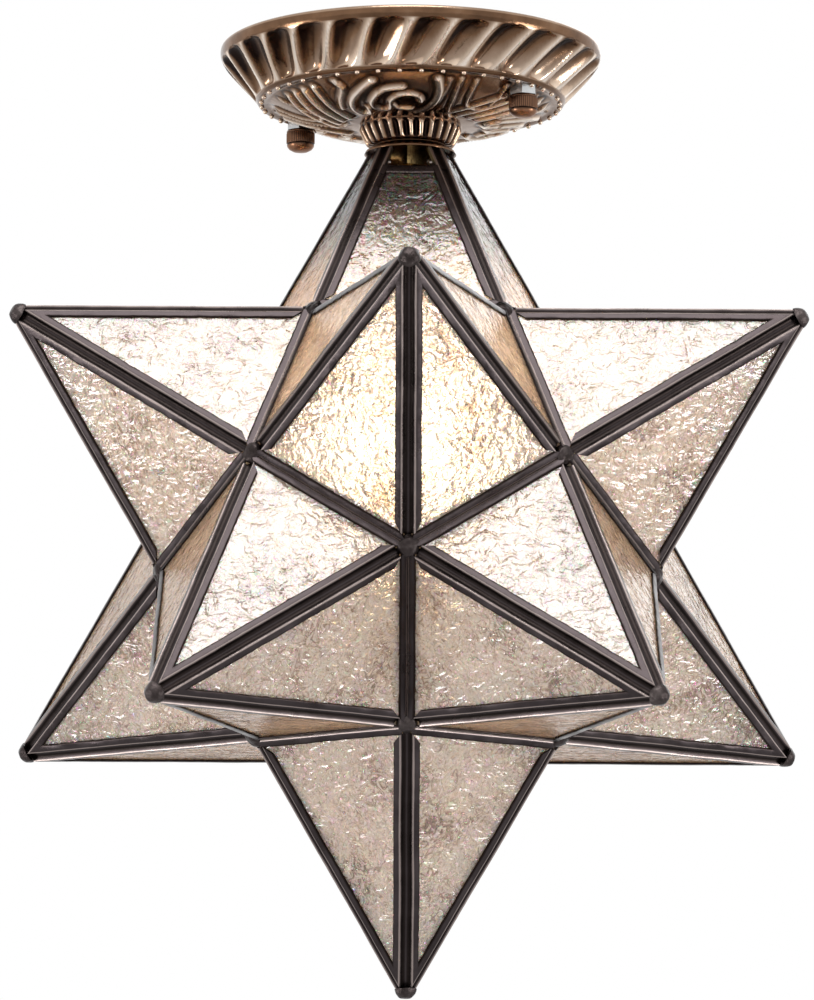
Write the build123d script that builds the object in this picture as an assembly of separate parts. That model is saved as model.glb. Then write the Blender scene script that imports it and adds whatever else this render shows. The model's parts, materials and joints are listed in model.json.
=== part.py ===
"""Stained glass star ceiling light: a twelve-point star of hammered glass in metal channel,
hung under an ornate ceiling canopy. Millimetres, Z up, origin on the ceiling at the middle of
the crossbar. Azimuth 0 faces the front (-Y) and turns towards +X."""
from build123d import *
from math import acos, asin, cos, degrees, radians, sin, sqrt, tan
import os

os.makedirs("parts", exist_ok=True)

# Star: every pane is the same tall triangle, whose base is an edge of a dodecahedron
PANE_BASE = 72.5
STAR_DROP = 191.5                                     # ceiling to the middle of the star
GOLDEN = (1 + sqrt(5)) / 2
BASE_RADIUS = PANE_BASE / (2 * sin(radians(36)))      # corners of a point's five-sided base
BASE_INSET = PANE_BASE / (2 * tan(radians(36)))       # middle of a base edge from the point's axis
BASE_HEIGHT = PANE_BASE / 2 * sqrt((25 + 11 * sqrt(5)) / 10)    # star centre to a base
RIDGE_LENGTH = PANE_BASE * GOLDEN
POINT_HEIGHT = RIDGE_LENGTH * cos(asin(BASE_RADIUS / RIDGE_LENGTH))
TIP_RADIUS = BASE_HEIGHT + POINT_HEIGHT
PANE_HEIGHT = sqrt(BASE_INSET ** 2 + POINT_HEIGHT ** 2)
RING_TILT = degrees(acos(1 / sqrt(5)))                # upper ring of points from the vertical

# Glass and the U-channel round it
GLASS_THICK = 3.0
CHANNEL_WALL = 0.75
CHANNEL_WEB = 0.9
CHANNEL_THICK = GLASS_THICK + 2 * CHANNEL_WALL
CHANNEL_WIDTH = 3.1
SOLDER_SINK = 2.2                                     # solder in the ridge groove, below the flanges
RIDGE_HALF_ANGLE = acos(-1 / sqrt(5)) / 2             # half the angle between two panes
RIDGE_START = CHANNEL_THICK / tan(RIDGE_HALF_ANGLE)   # ridge line to the channel, along the pane
VALLEY_SLOPE = 1 / tan(RIDGE_HALF_ANGLE)
PANE_CORNER = 72                                      # a pane's base angles, degrees

# Tips: the channels stop short of the sharp point and solder domes them over
TIP_CUT = 7.6
TIP_END = 4.4
TIP_CAP_R = 4.5
TIP_SIDES = 8

# Top point, cut short under the vase cap, with a window above its front pane
VASE_CAP_R = 17.4
VASE_CAP_TOP_R = 14.0
VASE_CAP_THICK = 3.2
VASE_CAP_RIM = 0.9
WINDOW_HEIGHT = 8.2
SILL_WIDTH = 3.6

# Canopy: rim, fluted wall, bead land, dome and pleated collar
CANOPY_R = 73.6
CANOPY_RIM = 1.8
FLUTES = 28
FLUTE_SLANT = 7.5                                     # degrees, outer end ahead of the inner one
FLUTE_HIGH = (71.9, -9.2)                             # the scoop's middle line, off the wall
FLUTE_LOW = (62.9, -18.2)
FLUTE_HIGH_R = 5.2
FLUTE_LOW_R = 3.1
FLUTE_HIGH_END = 4.0
FLUTE_LOW_END = 2.6
LAND_R = 59.0
DOME_R = 53.8
LAND_Z = -21.2
COLLAR_TOP_R = 19.2
COLLAR_LOW_R = 16.4
COLLAR_TOP_Z = -30.1
COLLAR_LOW_Z = -38.0
COLLAR_PLEAT = 0.93                                   # hollow of a pleat as a share of its crest
COLLAR_SEAT_Z = -36.4                                 # where the lock washer bears inside the collar

# Crossbar and the two canopy studs
STUD_CIRCLE_R = 52.8
STUD_AZIMUTH = 54.6
STUD_R = 2.4
STUD_LENGTH = 29.5
STUD_CLEAR = 0.3
SEAT_Z = -20.2                                        # where the canopy's hex nuts bear
SEAT_R = 6.0
BAR_LENGTH = 118.0
BAR_WIDTH = 20.0
BAR_THICK = 2.0
BAR_CORNER = 4.0
BAR_CENTRE_HOLE_R = 5.2
BOX_HOLE_SPACING = 69.85                              # the two screws of a standard ceiling box
BOX_HOLE_R = 2.6
GROUND_SCREW = (20, 5, 0)
GROUND_SCREW_R = 1.9
GROUND_HEAD_R = 3.6
GROUND_HEAD = 2.4
HEX_NUT_FLATS = 9.5
HEX_NUT_THICK = 4.5
LOCK_NUT_THICK = 3.2
CAP_NUT_R = 5.5
CAP_NUT_HEIGHT = 8.6
CAP_NUT_GRIP = 6.0                                    # knurled length above the domed end
CAP_NUT_DEPTH = 5.5
CAP_NUT_FIT = 0.1
KNURL_FLATS = 16
ROD_SIDES = 10

# Stem
NIPPLE_R = 4.9
NIPPLE_BORE_R = 3.7
NIPPLE_TOP = -24.0
NIPPLE_LOW = -57.0
NIPPLE_CLEAR = 0.3
WASHER_R = 9.0
WASHER_THICK = 0.8
STEM_NUT_FLATS = 14.0
STEM_NUT_THICK = 3.0
VASE_NUT_THICK = 5.0
VASE_NUT_TURN = -38                                   # a corner of the nut looks out of the window

# Lampholder
LAMP_SIDES = 16
HOLDER_TOP = -50.0
HOLDER_JOIN = -67.0
HOLDER_MOUTH = -98.0
HOLDER_R = 19.0
HOLDER_WALL = 2.6
HOLDER_NECK_R = 8.4
HOLDER_WAIST_R = 18.0
DISC_TOP = -68.0
DISC_LOW = -72.0
SHELL_R = 13.4
SHELL_SKIN = 0.5
SHELL_HOLE_R = 7.5
TERMINAL_X = 5.5
TERMINAL_SCREW_R = 1.6
TERMINAL_HEAD_R = 2.8
TERMINAL_HEAD = 2.0
TONGUE = (11, 5, 0.5)
CONTACT_R = 2.4
CONTACT_GAP = 0.3

# Bulb, A19 outline with an E26 base
BULB_TIP = -74.0
BULB_BUTTON_R = 2.6
BULB_INSULATOR = 4.0
BULB_BASE_R = 13.0
BULB_BASE_LENGTH = 22.0
BULB_SKIN = 0.6
NECK_R = 12.4
BULB_R = 30.0
BULB_NECK_TO_BALL = 51.0
BULB_END = -183.0
BULB_GLASS = 1.0
STEM_LENGTH = 27.0
SUPPORT_LENGTH = 18.0
SUPPORT_LEAN = 24
SUPPORT_FOOT = 1.4
SUPPORT_R = 0.5
COIL_R = 0.9

# Door: the rear right upper point, hinged on its level top edge
DOOR_POINT = "upper_rear_right"
DOOR_GAP = 0.35
HINGE_PIN_R = 0.8
HINGE_FIT = 0.05
HINGE_CLEAR = 0.4
PIN_HEAD_R = 1.3
PIN_HEAD = 0.8
KNUCKLE_R = 1.7
KNUCKLE_SIDES = 8
KNUCKLE_LENGTH = 9.0
KNUCKLE_GAP = 0.3
LEAF_THICK = 0.7
LEAF_WIDTH = 5.5
LEAF_START = 1.1
LEAF_WAIST = 3.0

# Wiring space
BLOCK_SIZE = (14.0, 20.0, 11.0)
BLOCK_PLACE = (-20.0, 0)
BLOCK_POLES = (-6.5, 0, 6.5)
BLOCK_SCREW_R = 1.5
BLOCK_SCREW_SINK = 2.4
WIRE_Z = -7.5
LEAD_R = 1.1
LEAD_SIDES = 5
LIVE_ROUTE = [(-16, -6.5, WIRE_Z), (-8, -6.5, WIRE_Z), (-1.3, 0, -18), (-1.3, 0, -67.5)]
NEUTRAL_ROUTE = [(-16, 0, WIRE_Z), (1.3, 0, WIRE_Z), (1.3, 0, -67.5)]
GROUND_ROUTE = [(-16, 6.5, WIRE_Z), (2, 6.5, WIRE_Z), (16, 5, -3.3)]

STAR_CENTRE = Pos(0, 0, -STAR_DROP)
UNDER = (Align.CENTER, Align.CENTER, Align.MAX)


def turned(shape, azimuth):
    return Rot(0, 0, azimuth) * shape


def in_bar_frame(shape):
    """Turn a shape drawn with the crossbar along X to where the crossbar is."""
    return turned(shape, STUD_AZIMUTH - 90)


def ground_point(radius, azimuth, z=0.0):
    """A point at an azimuth counted from the front."""
    a = radians(azimuth)
    return Vector(radius * sin(a), -radius * cos(a), z)


def faceted(points, sides):
    """A turned form in flat facets: a closed outline of (radius, z) stepped round Z.
    A third value draws a point in to that share of its radius on every other step, as a pleat."""
    rings = []
    for k in range(sides):
        ring = []
        for r, z, *pleat in points:
            share = pleat[0] if pleat and k % 2 else 1
            ring.append(ground_point(r * share, 360 / sides * k, z))
        rings.append(ring)
    faces = []
    for k, near in enumerate(rings):
        far = rings[(k + 1) % sides]
        for i in range(len(points)):
            loop = [near[i - 1], near[i], far[i], far[i - 1]]
            corners = [p for p, q in zip(loop, loop[1:] + loop[:1]) if (p - q).length > 1e-6]
            if len(corners) > 2:
                faces.append(make_face(Polyline(*corners, close=True)).face())
    return Solid(Shell(faces))


def rod(radius, top, low, sides):
    """An upright faceted cylinder between two heights."""
    return faceted([(0, top), (radius, top), (radius, low), (0, low)], sides)


def tube(bore, radius, top, low, sides):
    """An upright faceted tube between two heights."""
    return faceted([(bore, top), (radius, top), (radius, low), (bore, low)], sides)


def prism(points, plane, length):
    """A straight bar: a closed outline on a plane, drawn out along its normal."""
    face = make_face(plane * Polyline(*points, close=True))
    return extrude(face, length, dir=plane.z_dir)


def keep_side(shape, origin, towards):
    """The part of a shape on the side of a plane that a direction points to."""
    return split(shape, bisect_by=Plane(origin=origin, z_dir=towards), keep=Keep.TOP)


# The point that stands straight up from the star's centre is the pattern for all twelve
SIDE = Vector(1, 0, 0)
UP_PANE = Vector(0, BASE_INSET, POINT_HEIGHT).normalized()
OUT_PANE = SIDE.cross(UP_PANE)
BASE_MIDDLE = Vector(0, -BASE_INSET, BASE_HEIGHT)
PANE_PLANE = Plane(origin=BASE_MIDDLE, x_dir=SIDE, z_dir=OUT_PANE)
TIP = Vector(0, 0, TIP_RADIUS)
CORNER = ground_point(BASE_RADIUS, 36, BASE_HEIGHT)
RIDGE_DIR = (TIP - CORNER).normalized()
RIDGE_OUT = (ground_point(1, 36) - RIDGE_DIR * ground_point(1, 36).dot(RIDGE_DIR)).normalized()
RIDGE_PLANE = Plane(origin=CORNER, x_dir=RIDGE_OUT, z_dir=RIDGE_DIR)
OUT_EDGE = BASE_MIDDLE.normalized()
HINGE_POINT = BASE_MIDDLE + OUT_EDGE * ((KNUCKLE_R + HINGE_CLEAR) / sin(RIDGE_HALF_ANGLE))


def placements():
    """Name and place of each point: the pattern point turned about the star's centre."""
    flip = Rot(0, 0, 180)
    named = {"top_point": Location(), "bottom_point": Rot(180, 0, 0)}
    for name, azimuth in (("front", 0), ("right", 72), ("rear_right", 144),
                          ("rear_left", -144), ("left", -72)):
        named["upper_" + name] = Rot(0, 0, azimuth) * Rot(RING_TILT, 0, 0) * flip
    for name, azimuth in (("front_right", 36), ("right", 108), ("rear", 180),
                          ("left", -108), ("front_left", -36)):
        named["lower_" + name] = Rot(0, 0, azimuth) * Rot(180 - RING_TILT, 0, 0)
    return {name: STAR_CENTRE * place for name, place in named.items()}


def pane(top_cut=None):
    """One triangle of glass, its edges inside the channel's slots."""
    ridge_inset = RIDGE_START + CHANNEL_WEB
    low = CHANNEL_WEB
    slope = tan(radians(PANE_CORNER))
    top = PANE_HEIGHT - ridge_inset / cos(radians(PANE_CORNER))
    half = (top - low) / slope
    outline = [(-half, low), (half, low)]
    if top_cut is None:
        outline.append((0, top))
    else:
        half_top = (top - top_cut) / slope
        outline += [(half_top, top_cut), (-half_top, top_cut)]
    face = make_face(PANE_PLANE.offset(-CHANNEL_WALL) * Polyline(*outline, close=True))
    return extrude(face, GLASS_THICK, dir=-OUT_PANE)


def channel_outline(start, low_start):
    """A channel's section, as (distance in from the pane's edge, depth), round its slot."""
    end = start + CHANNEL_WIDTH
    web = start + CHANNEL_WEB
    slot_low = CHANNEL_WALL + GLASS_THICK
    return [(start, 0), (end, 0), (end, CHANNEL_WALL), (web, CHANNEL_WALL), (web, slot_low),
            (end, slot_low), (end, CHANNEL_THICK), (low_start, CHANNEL_THICK)]


def ridge_sides():
    """In the ridge's cross-section: along a pane from the ridge line, and in through its thickness."""
    along = Vector(-cos(RIDGE_HALF_ANGLE), sin(RIDGE_HALF_ANGLE))
    inward = Vector(-sin(RIDGE_HALF_ANGLE), -cos(RIDGE_HALF_ANGLE))
    return along, inward


def ridge_bar(top=TIP_RADIUS - TIP_CUT):
    """Two channels back to back along a ridge, with solder low in the groove between them."""
    along, inward = ridge_sides()
    half = [along * s + inward * t
            for s, t in [(RIDGE_START, SOLDER_SINK)] + channel_outline(RIDGE_START, RIDGE_START)]
    outline = [(p.X, p.Y) for p in half] + [(p.X, -p.Y) for p in reversed(half[:-1])]
    bar = prism(outline, RIDGE_PLANE.offset(-10), RIDGE_LENGTH + 10)
    for azimuth in (0, 72):
        mid = ground_point(1, azimuth)
        side = ground_point(1, 36) - mid * mid.dot(ground_point(1, 36))
        bar = keep_side(bar, TIP, side)
    for other in (-36, 108):
        base_dir = (ground_point(BASE_RADIUS, other, BASE_HEIGHT) - CORNER).normalized()
        bar = keep_side(bar, CORNER, RIDGE_DIR - base_dir)
    return keep_side(bar, Vector(0, 0, top), Vector(0, 0, -1))


def base_bar():
    """The channel along a pane's base, met by its neighbour's in the valley between points."""
    outline = [(s, -t) for s, t in channel_outline(0, -VALLEY_SLOPE * CHANNEL_THICK)]
    plane = Plane(origin=BASE_MIDDLE - SIDE * PANE_BASE, x_dir=UP_PANE, z_dir=SIDE)
    bar = prism(outline, plane, 2 * PANE_BASE)
    for sign, azimuth in ((-1, -36), (1, 36)):
        corner = ground_point(BASE_RADIUS, azimuth, BASE_HEIGHT)
        ridge = (TIP - corner).normalized()
        bar = keep_side(bar, corner, SIDE * -sign - ridge)
        inside = SIDE * -sign * cos(radians(36)) + Vector(0, -sin(radians(36)), 0)
        bar = keep_side(bar, Vector(0, 0, 0), inside)
    return bar


def sill_bar(height):
    """The channel across the top edge of the front top pane, below the window."""
    low = height - SILL_WIDTH
    web = height - CHANNEL_WEB
    slot_low = -CHANNEL_WALL - GLASS_THICK
    outline = [(low, 0), (height, 0), (height, -CHANNEL_THICK), (low, -CHANNEL_THICK),
               (low, slot_low), (web, slot_low), (web, -CHANNEL_WALL), (low, -CHANNEL_WALL)]
    plane = Plane(origin=BASE_MIDDLE - SIDE * PANE_BASE, x_dir=UP_PANE, z_dir=SIDE)
    bar = prism(outline, plane, 2 * PANE_BASE)
    edge = (RIDGE_START + CHANNEL_WIDTH) / sin(radians(PANE_CORNER))
    for sign in (-1, 1):
        corner = BASE_MIDDLE + SIDE * sign * (PANE_BASE / 2 - edge)
        ridge = SIDE * -sign * cos(radians(PANE_CORNER)) + UP_PANE * sin(radians(PANE_CORNER))
        bar = keep_side(bar, corner, OUT_PANE.cross(ridge) * sign)
    return bar


def window(low, top):
    """The opening above the sill: the pane's outline there, in to the channels' webs."""
    edge = (RIDGE_START + CHANNEL_WEB) / sin(radians(PANE_CORNER))
    corners = []
    for y in (low, top):
        half = PANE_BASE / 2 * (1 - y / PANE_HEIGHT) - edge
        corners += [(-half, y), (half, y)] if y == low else [(half, y), (-half, y)]
    return prism(corners, PANE_PLANE.offset(-2 * CHANNEL_THICK), 3 * CHANNEL_THICK)


def tip_cap():
    """The blunt dome of solder that closes a tip."""
    low = TIP_RADIUS - TIP_CUT
    end = TIP_RADIUS - TIP_END
    return faceted([(0, low), (TIP_CAP_R, low), (0.86 * TIP_CAP_R, low + 1.5), (0.45 * TIP_CAP_R, end),
                    (0, end)], TIP_SIDES)


def door_clear(shape):
    """A piece of the door, kept a gap inside the cone that its base spans from the centre."""
    for k in range(5):
        edge = BASE_MIDDLE.rotate(Axis.Z, 72 * k)
        along = SIDE.rotate(Axis.Z, 72 * k)
        inside = along.cross(edge).normalized()
        if inside.dot(Vector(0, 0, 1)) < 0:
            inside = inside * -1
        shape = keep_side(shape, inside * DOOR_GAP, inside)
    return shape


def along_hinge(profile, low, high):
    """A section on the hinge axis, drawn out along the door's top edge."""
    plane = Plane(origin=HINGE_POINT + SIDE * low, x_dir=OUT_EDGE, z_dir=SIDE)
    return extrude(plane * profile, high - low, dir=SIDE)


def hinge_side(up, out, middles, hole):
    """A leaf soldered flat on a channel, with its rolled barrels, cut back between them."""
    half = KNUCKLE_LENGTH / 2
    low = min(middles) - half
    high = max(middles) + half
    outline = [(low, LEAF_WIDTH), (low, LEAF_START)]
    if len(middles) > 1:
        outline += [(low + KNUCKLE_LENGTH, LEAF_START), (low + KNUCKLE_LENGTH, LEAF_WAIST),
                    (high - KNUCKLE_LENGTH, LEAF_WAIST), (high - KNUCKLE_LENGTH, LEAF_START)]
    outline += [(high, LEAF_START), (high, LEAF_WIDTH)]
    corners = [BASE_MIDDLE + SIDE * x + up * y for x, y in outline]
    leaf = extrude(make_face(Polyline(*corners, close=True)), LEAF_THICK, dir=out)
    for m in middles:
        leaf = leaf + along_hinge(RegularPolygon(KNUCKLE_R, KNUCKLE_SIDES), m - half, m + half)
    return leaf - along_hinge(hole, low - 1, high + 1)


def hinge_pin():
    """The pin, with a small head at each end."""
    half = 1.5 * KNUCKLE_LENGTH + KNUCKLE_GAP
    pin = along_hinge(Circle(HINGE_PIN_R), -half, half)
    pin = pin + along_hinge(RegularPolygon(PIN_HEAD_R, KNUCKLE_SIDES), half, half + PIN_HEAD)
    return pin + along_hinge(RegularPolygon(PIN_HEAD_R, KNUCKLE_SIDES), -half - PIN_HEAD, -half)


def flute(azimuth):
    """The scoop of one slanted flute: six flats drawn in at both ends."""
    high = ground_point(FLUTE_HIGH[0], azimuth + FLUTE_SLANT, FLUTE_HIGH[1])
    low = ground_point(FLUTE_LOW[0], azimuth, FLUTE_LOW[1])
    length = (low - high).length
    plane = Plane(origin=high, x_dir=ground_point(1, azimuth + 90), z_dir=low - high)
    scoop = faceted([(0, -FLUTE_HIGH_END), (FLUTE_HIGH_R, 0), (FLUTE_LOW_R, length),
                     (0, length + FLUTE_LOW_END)], 6)
    return plane * turned(scoop, 30)


def canopy():
    """The ceiling cup: smooth rim, fluted wall, bead land, dome and collar, hollow behind."""
    hole = NIPPLE_R + NIPPLE_CLEAR
    wall = [(0, 0), (CANOPY_R, 0), (CANOPY_R, -2.2), (71.4, -5.2), (66.9, -9.6), (61.2, -17.6)]
    dome = [(LAND_R, LAND_Z), (DOME_R, LAND_Z), (38.0, -27.8), (COLLAR_TOP_R, COLLAR_TOP_Z)]
    collar = [(COLLAR_TOP_R, COLLAR_TOP_Z, COLLAR_PLEAT), (COLLAR_LOW_R, COLLAR_LOW_Z, COLLAR_PLEAT)]
    outside = faceted(wall + dome + collar + [(0, COLLAR_LOW_Z)], 2 * FLUTES)
    rim = CANOPY_R - CANOPY_RIM
    inside = faceted([(0, 1), (rim, 1), (rim, 0), (69.4, -3.4), (56.8, -18.0), (46.2, -18.4), (36.0, -25.8),
                      (16.2, -28.2), (13.6, COLLAR_SEAT_Z), (0, COLLAR_SEAT_Z)], FLUTES)
    shell = outside - inside - rod(hole, COLLAR_SEAT_Z + 1, COLLAR_LOW_Z - 1, LAMP_SIDES)
    shell = shell - [flute(360 / FLUTES * k) for k in range(FLUTES)]
    shell = shell - at_studs(rod(STUD_R + STUD_CLEAR, 0, 2 * SEAT_Z, ROD_SIDES))
    return shell - at_studs(rod(SEAT_R, SEAT_Z, 2 * SEAT_Z, ROD_SIDES))


def hex_nut(flats, thick, bore, z_top, bore_sides, turn=0):
    """A plain hexagon nut, its upper face at a height, its flats turned but not its bore."""
    hexagon = RegularPolygon(flats / 2, 6, major_radius=False)
    body = turned(extrude(Plane.XY.offset(z_top - thick) * hexagon, thick), turn)
    return body - rod(bore, z_top + 1, z_top - thick - 1, bore_sides)


def at_studs(shape):
    """A shape drawn on the axis, repeated at the two studs."""
    return [in_bar_frame(Pos(side * STUD_CIRCLE_R, 0, 0) * shape) for side in (1, -1)]


def crossbar():
    """The steel strap on the ceiling box: stud holes, two box screw holes and one for the wires."""
    bar = Box(BAR_LENGTH, BAR_WIDTH, BAR_THICK, align=UNDER)
    bar = chamfer(bar.edges().filter_by(Axis.Z), BAR_CORNER)
    bar = bar - rod(BAR_CENTRE_HOLE_R, 1, -10, ROD_SIDES)
    bar = bar - Pos(*GROUND_SCREW) * rod(GROUND_SCREW_R, 1, -10, ROD_SIDES)
    for side in (-1, 1):
        bar = bar - Pos(side * STUD_CIRCLE_R, 0, 0) * rod(STUD_R, 1, -10, ROD_SIDES)
        bar = bar - Pos(side * BOX_HOLE_SPACING / 2, 0, 0) * Cylinder(BOX_HOLE_R, 4 * BAR_THICK)
    return in_bar_frame(bar)


def knurled_cap_nut():
    """A thumb nut: a grip of many flats, a domed end and a blind threaded hole."""
    top = SEAT_Z - HEX_NUT_THICK
    low = top - CAP_NUT_GRIP
    end = top - CAP_NUT_HEIGHT
    nut = faceted([(0, top), (CAP_NUT_R, top), (CAP_NUT_R, low), (CAP_NUT_R - 0.5, low), (4.1, end + 0.9),
                   (2.2, end), (0, end)], KNURL_FLATS)
    return nut - Pos(0, 0, top) * Cylinder(STUD_R + CAP_NUT_FIT, 2 * CAP_NUT_DEPTH)


def vase_cap():
    """The spun cap on top of the star, clamped between the collar and the brass nut."""
    low = COLLAR_LOW_Z - VASE_CAP_THICK
    hole = NIPPLE_R + NIPPLE_CLEAR
    return faceted([(hole, COLLAR_LOW_Z), (VASE_CAP_TOP_R, COLLAR_LOW_Z), (VASE_CAP_R, low + VASE_CAP_RIM),
                    (VASE_CAP_R, low), (hole, low)], FLUTES)


def holder_cap():
    """The lampholder's upper dome, with the threaded neck that grips the nipple."""
    inside = HOLDER_R - HOLDER_WALL
    return faceted([(NIPPLE_R, HOLDER_TOP), (HOLDER_NECK_R, HOLDER_TOP), (HOLDER_NECK_R, -55.4),
                    (16.2, -59.4), (HOLDER_R, -64.6), (HOLDER_R, HOLDER_JOIN), (inside, HOLDER_JOIN),
                    (14.0, -61.4), (NIPPLE_R, -58.2)], LAMP_SIDES)


def holder_body():
    """The lampholder's skirt, waisted outside and open below for the bulb."""
    inside = HOLDER_R - HOLDER_WALL
    lip = SHELL_R + SHELL_SKIN
    return faceted([(inside, HOLDER_JOIN), (HOLDER_R, HOLDER_JOIN), (HOLDER_R, -70.0),
                    (HOLDER_WAIST_R, -71.0), (HOLDER_WAIST_R, -94.6), (HOLDER_R, -95.6),
                    (HOLDER_R, HOLDER_MOUTH), (lip, HOLDER_MOUTH), (inside, HOLDER_MOUTH + 4)], LAMP_SIDES)


def holder_insulator():
    """The disc that carries the lampholder's live parts."""
    disc = rod(HOLDER_R - HOLDER_WALL, DISC_TOP, DISC_LOW, LAMP_SIDES)
    for x in (-TERMINAL_X, TERMINAL_X):
        hole = rod(TERMINAL_SCREW_R, DISC_TOP + 1, DISC_LOW - 1, ROD_SIDES)
        disc = disc - in_bar_frame(Pos(x, 0, 0) * hole)
    return disc


def screw_shell():
    """The brass screw shell of the lampholder."""
    outer = SHELL_R + SHELL_SKIN
    low = HOLDER_MOUTH + 1.0
    return faceted([(SHELL_HOLE_R, DISC_LOW), (outer, DISC_LOW), (outer, low), (SHELL_R, low),
                    (SHELL_R, DISC_LOW - SHELL_SKIN), (SHELL_HOLE_R, DISC_LOW - SHELL_SKIN)], LAMP_SIDES)


def centre_contact():
    """The springy tongue that meets the bulb's tip."""
    tongue = Pos(0, 0, DISC_LOW) * Box(*TONGUE, align=UNDER)
    return tongue + rod(CONTACT_R, DISC_LOW, BULB_TIP + CONTACT_GAP, ROD_SIDES)


def terminal_screws():
    """The two lampholder terminals that clamp the leads."""
    screw = rod(TERMINAL_HEAD_R, DISC_TOP + TERMINAL_HEAD, DISC_TOP, ROD_SIDES)
    screw = screw + rod(TERMINAL_SCREW_R, DISC_TOP, DISC_LOW, ROD_SIDES)
    return [in_bar_frame(Pos(x, 0, 0) * screw) for x in (-TERMINAL_X, TERMINAL_X)]


def bulb_envelope(neck_z):
    """The blown glass: a neck that flares to a ball, one wall thick and open at the neck."""
    ball_z = neck_z - BULB_NECK_TO_BALL
    drop = ball_z - BULB_END
    curve = [radians(a) for a in (0, 30, 58)]
    outer = [(NECK_R, neck_z + 6), (NECK_R, neck_z), (15.0, neck_z - 9), (23.8, neck_z - 31)]
    outer += [(BULB_R * cos(a), ball_z - drop * sin(a)) for a in curve]
    inner = [(r - BULB_GLASS, z) for r, z in outer[:5]]
    inner += [((BULB_R - BULB_GLASS) * cos(a), ball_z - (drop - BULB_GLASS) * sin(a)) for a in curve[1:]]
    return faceted(outer + [(0, BULB_END), (0, BULB_END + BULB_GLASS)] + inner[::-1], LAMP_SIDES)


def bulb_parts():
    """Envelope, base, insulator, tip contact, stem and filament of the bulb."""
    cap_z = BULB_TIP - BULB_INSULATOR
    neck_z = cap_z - BULB_BASE_LENGTH
    stem_low = neck_z - STEM_LENGTH
    button_low = BULB_TIP - 1.2
    contact = Pos(0, 0, BULB_TIP) * Cylinder(BULB_BUTTON_R, BULB_TIP - button_low, align=UNDER)
    insulator = faceted([(0, button_low), (4.4, button_low), (BULB_BASE_R - 1, cap_z), (0, cap_z)],
                        LAMP_SIDES)
    base = faceted([(0, cap_z), (BULB_BASE_R - 0.8, cap_z), (BULB_BASE_R, cap_z - 0.8),
                    (BULB_BASE_R, neck_z), (NECK_R, neck_z), (NECK_R, cap_z - BULB_SKIN),
                    (0, cap_z - BULB_SKIN)], LAMP_SIDES)
    pillar = faceted([(0, neck_z + 5), (NECK_R - BULB_GLASS, neck_z + 5), (3.6, neck_z - 3),
                      (2.2, stem_low), (0, stem_low)], LAMP_SIDES)
    foot_z = stem_low + 3
    wire = rod(SUPPORT_R, 0, -SUPPORT_LENGTH, 6)
    wires = [Pos(side * SUPPORT_FOOT, 0, foot_z) * Rot(0, -side * SUPPORT_LEAN, 0) * wire
             for side in (-1, 1)]
    half_span = SUPPORT_FOOT + SUPPORT_LENGTH * sin(radians(SUPPORT_LEAN)) + SUPPORT_R
    coil_z = foot_z - SUPPORT_LENGTH * cos(radians(SUPPORT_LEAN))
    coil = Pos(0, 0, coil_z) * Rot(0, 90, 0) * rod(COIL_R, half_span, -half_span, 6)
    return {"bulb_contact": contact, "bulb_insulator": insulator, "bulb_base": base,
            "bulb_envelope": bulb_envelope(neck_z), "bulb_stem": pillar - wires[0] - wires[1],
            "bulb_filament": coil + wires[0] + wires[1]}


def terminal_block():
    """The insulated three-pole block fixed under the crossbar."""
    x, y = BLOCK_PLACE
    low = -BAR_THICK - BLOCK_SIZE[2]
    block = Pos(x, y, -BAR_THICK) * Box(*BLOCK_SIZE, align=UNDER)
    for pole in BLOCK_POLES:
        block = block - Pos(x, pole, WIRE_Z) * Rot(0, 90, 0) * rod(LEAD_R + 0.1, 20, -20, 8)
        block = block - Pos(x, pole, 0) * rod(BLOCK_SCREW_R, low + BLOCK_SCREW_SINK, low - 1, 8)
    return in_bar_frame(block)


def block_screws():
    """One clamping screw for each pole, sunk in the block from below."""
    low = -BAR_THICK - BLOCK_SIZE[2]
    screw = Pos(BLOCK_PLACE[0], 0, 0) * rod(BLOCK_SCREW_R, low + BLOCK_SCREW_SINK, low, 8)
    return [in_bar_frame(Pos(0, pole, 0) * screw) for pole in BLOCK_POLES]


def lead(points):
    """An insulated wire: straight runs joined by arcs as wide as the runs allow."""
    spots = [Vector(*p) for p in points]
    runs = [b - a for a, b in zip(spots, spots[1:])]
    radii = []
    for first, second in zip(runs, runs[1:]):
        half_turn = radians(first.get_angle(second)) / 2
        radii.append(round(0.45 * min(first.length, second.length) / tan(half_turn), 2))
    print("lead bend radii", radii)
    path = FilletPolyline(*points, radius=radii)
    start = Plane(origin=points[0], z_dir=runs[0])
    return in_bar_frame(sweep(start * RegularPolygon(LEAD_R, LEAD_SIDES), path=path))


def five(shape):
    return [turned(shape, 72 * k) for k in range(5)]


def write(name, shapes, place=None):
    """Write one node: a single solid, or a group of separate ones."""
    if not isinstance(shapes, (list, tuple)):
        shapes = [shapes]
    solids = [s for shape in shapes for s in shape.solids()]
    if place is not None:
        solids = [place * s for s in solids]
    export_step(Compound(children=solids) if len(solids) > 1 else solids[0], "parts/" + name + ".step")


def star_nodes():
    """The frames, panes and tips of all twelve points."""
    places = placements()
    ridge = ridge_bar()
    base = base_bar()
    glass = pane()
    cap = tip_cap()
    static = [name for name in places if name not in ("top_point", DOOR_POINT)]
    for name in static:
        write(name + "_frame", five(ridge) + five(base), places[name])
        write(name + "_glass", five(glass), places[name])
    write("tip_caps", [places[name] * cap for name in static])
    top_point(places["top_point"])
    door_nodes(places[DOOR_POINT])


def along_pane(height):
    """How far up a pane a height above the star's centre is."""
    return (height - BASE_HEIGHT) * PANE_HEIGHT / POINT_HEIGHT


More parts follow.
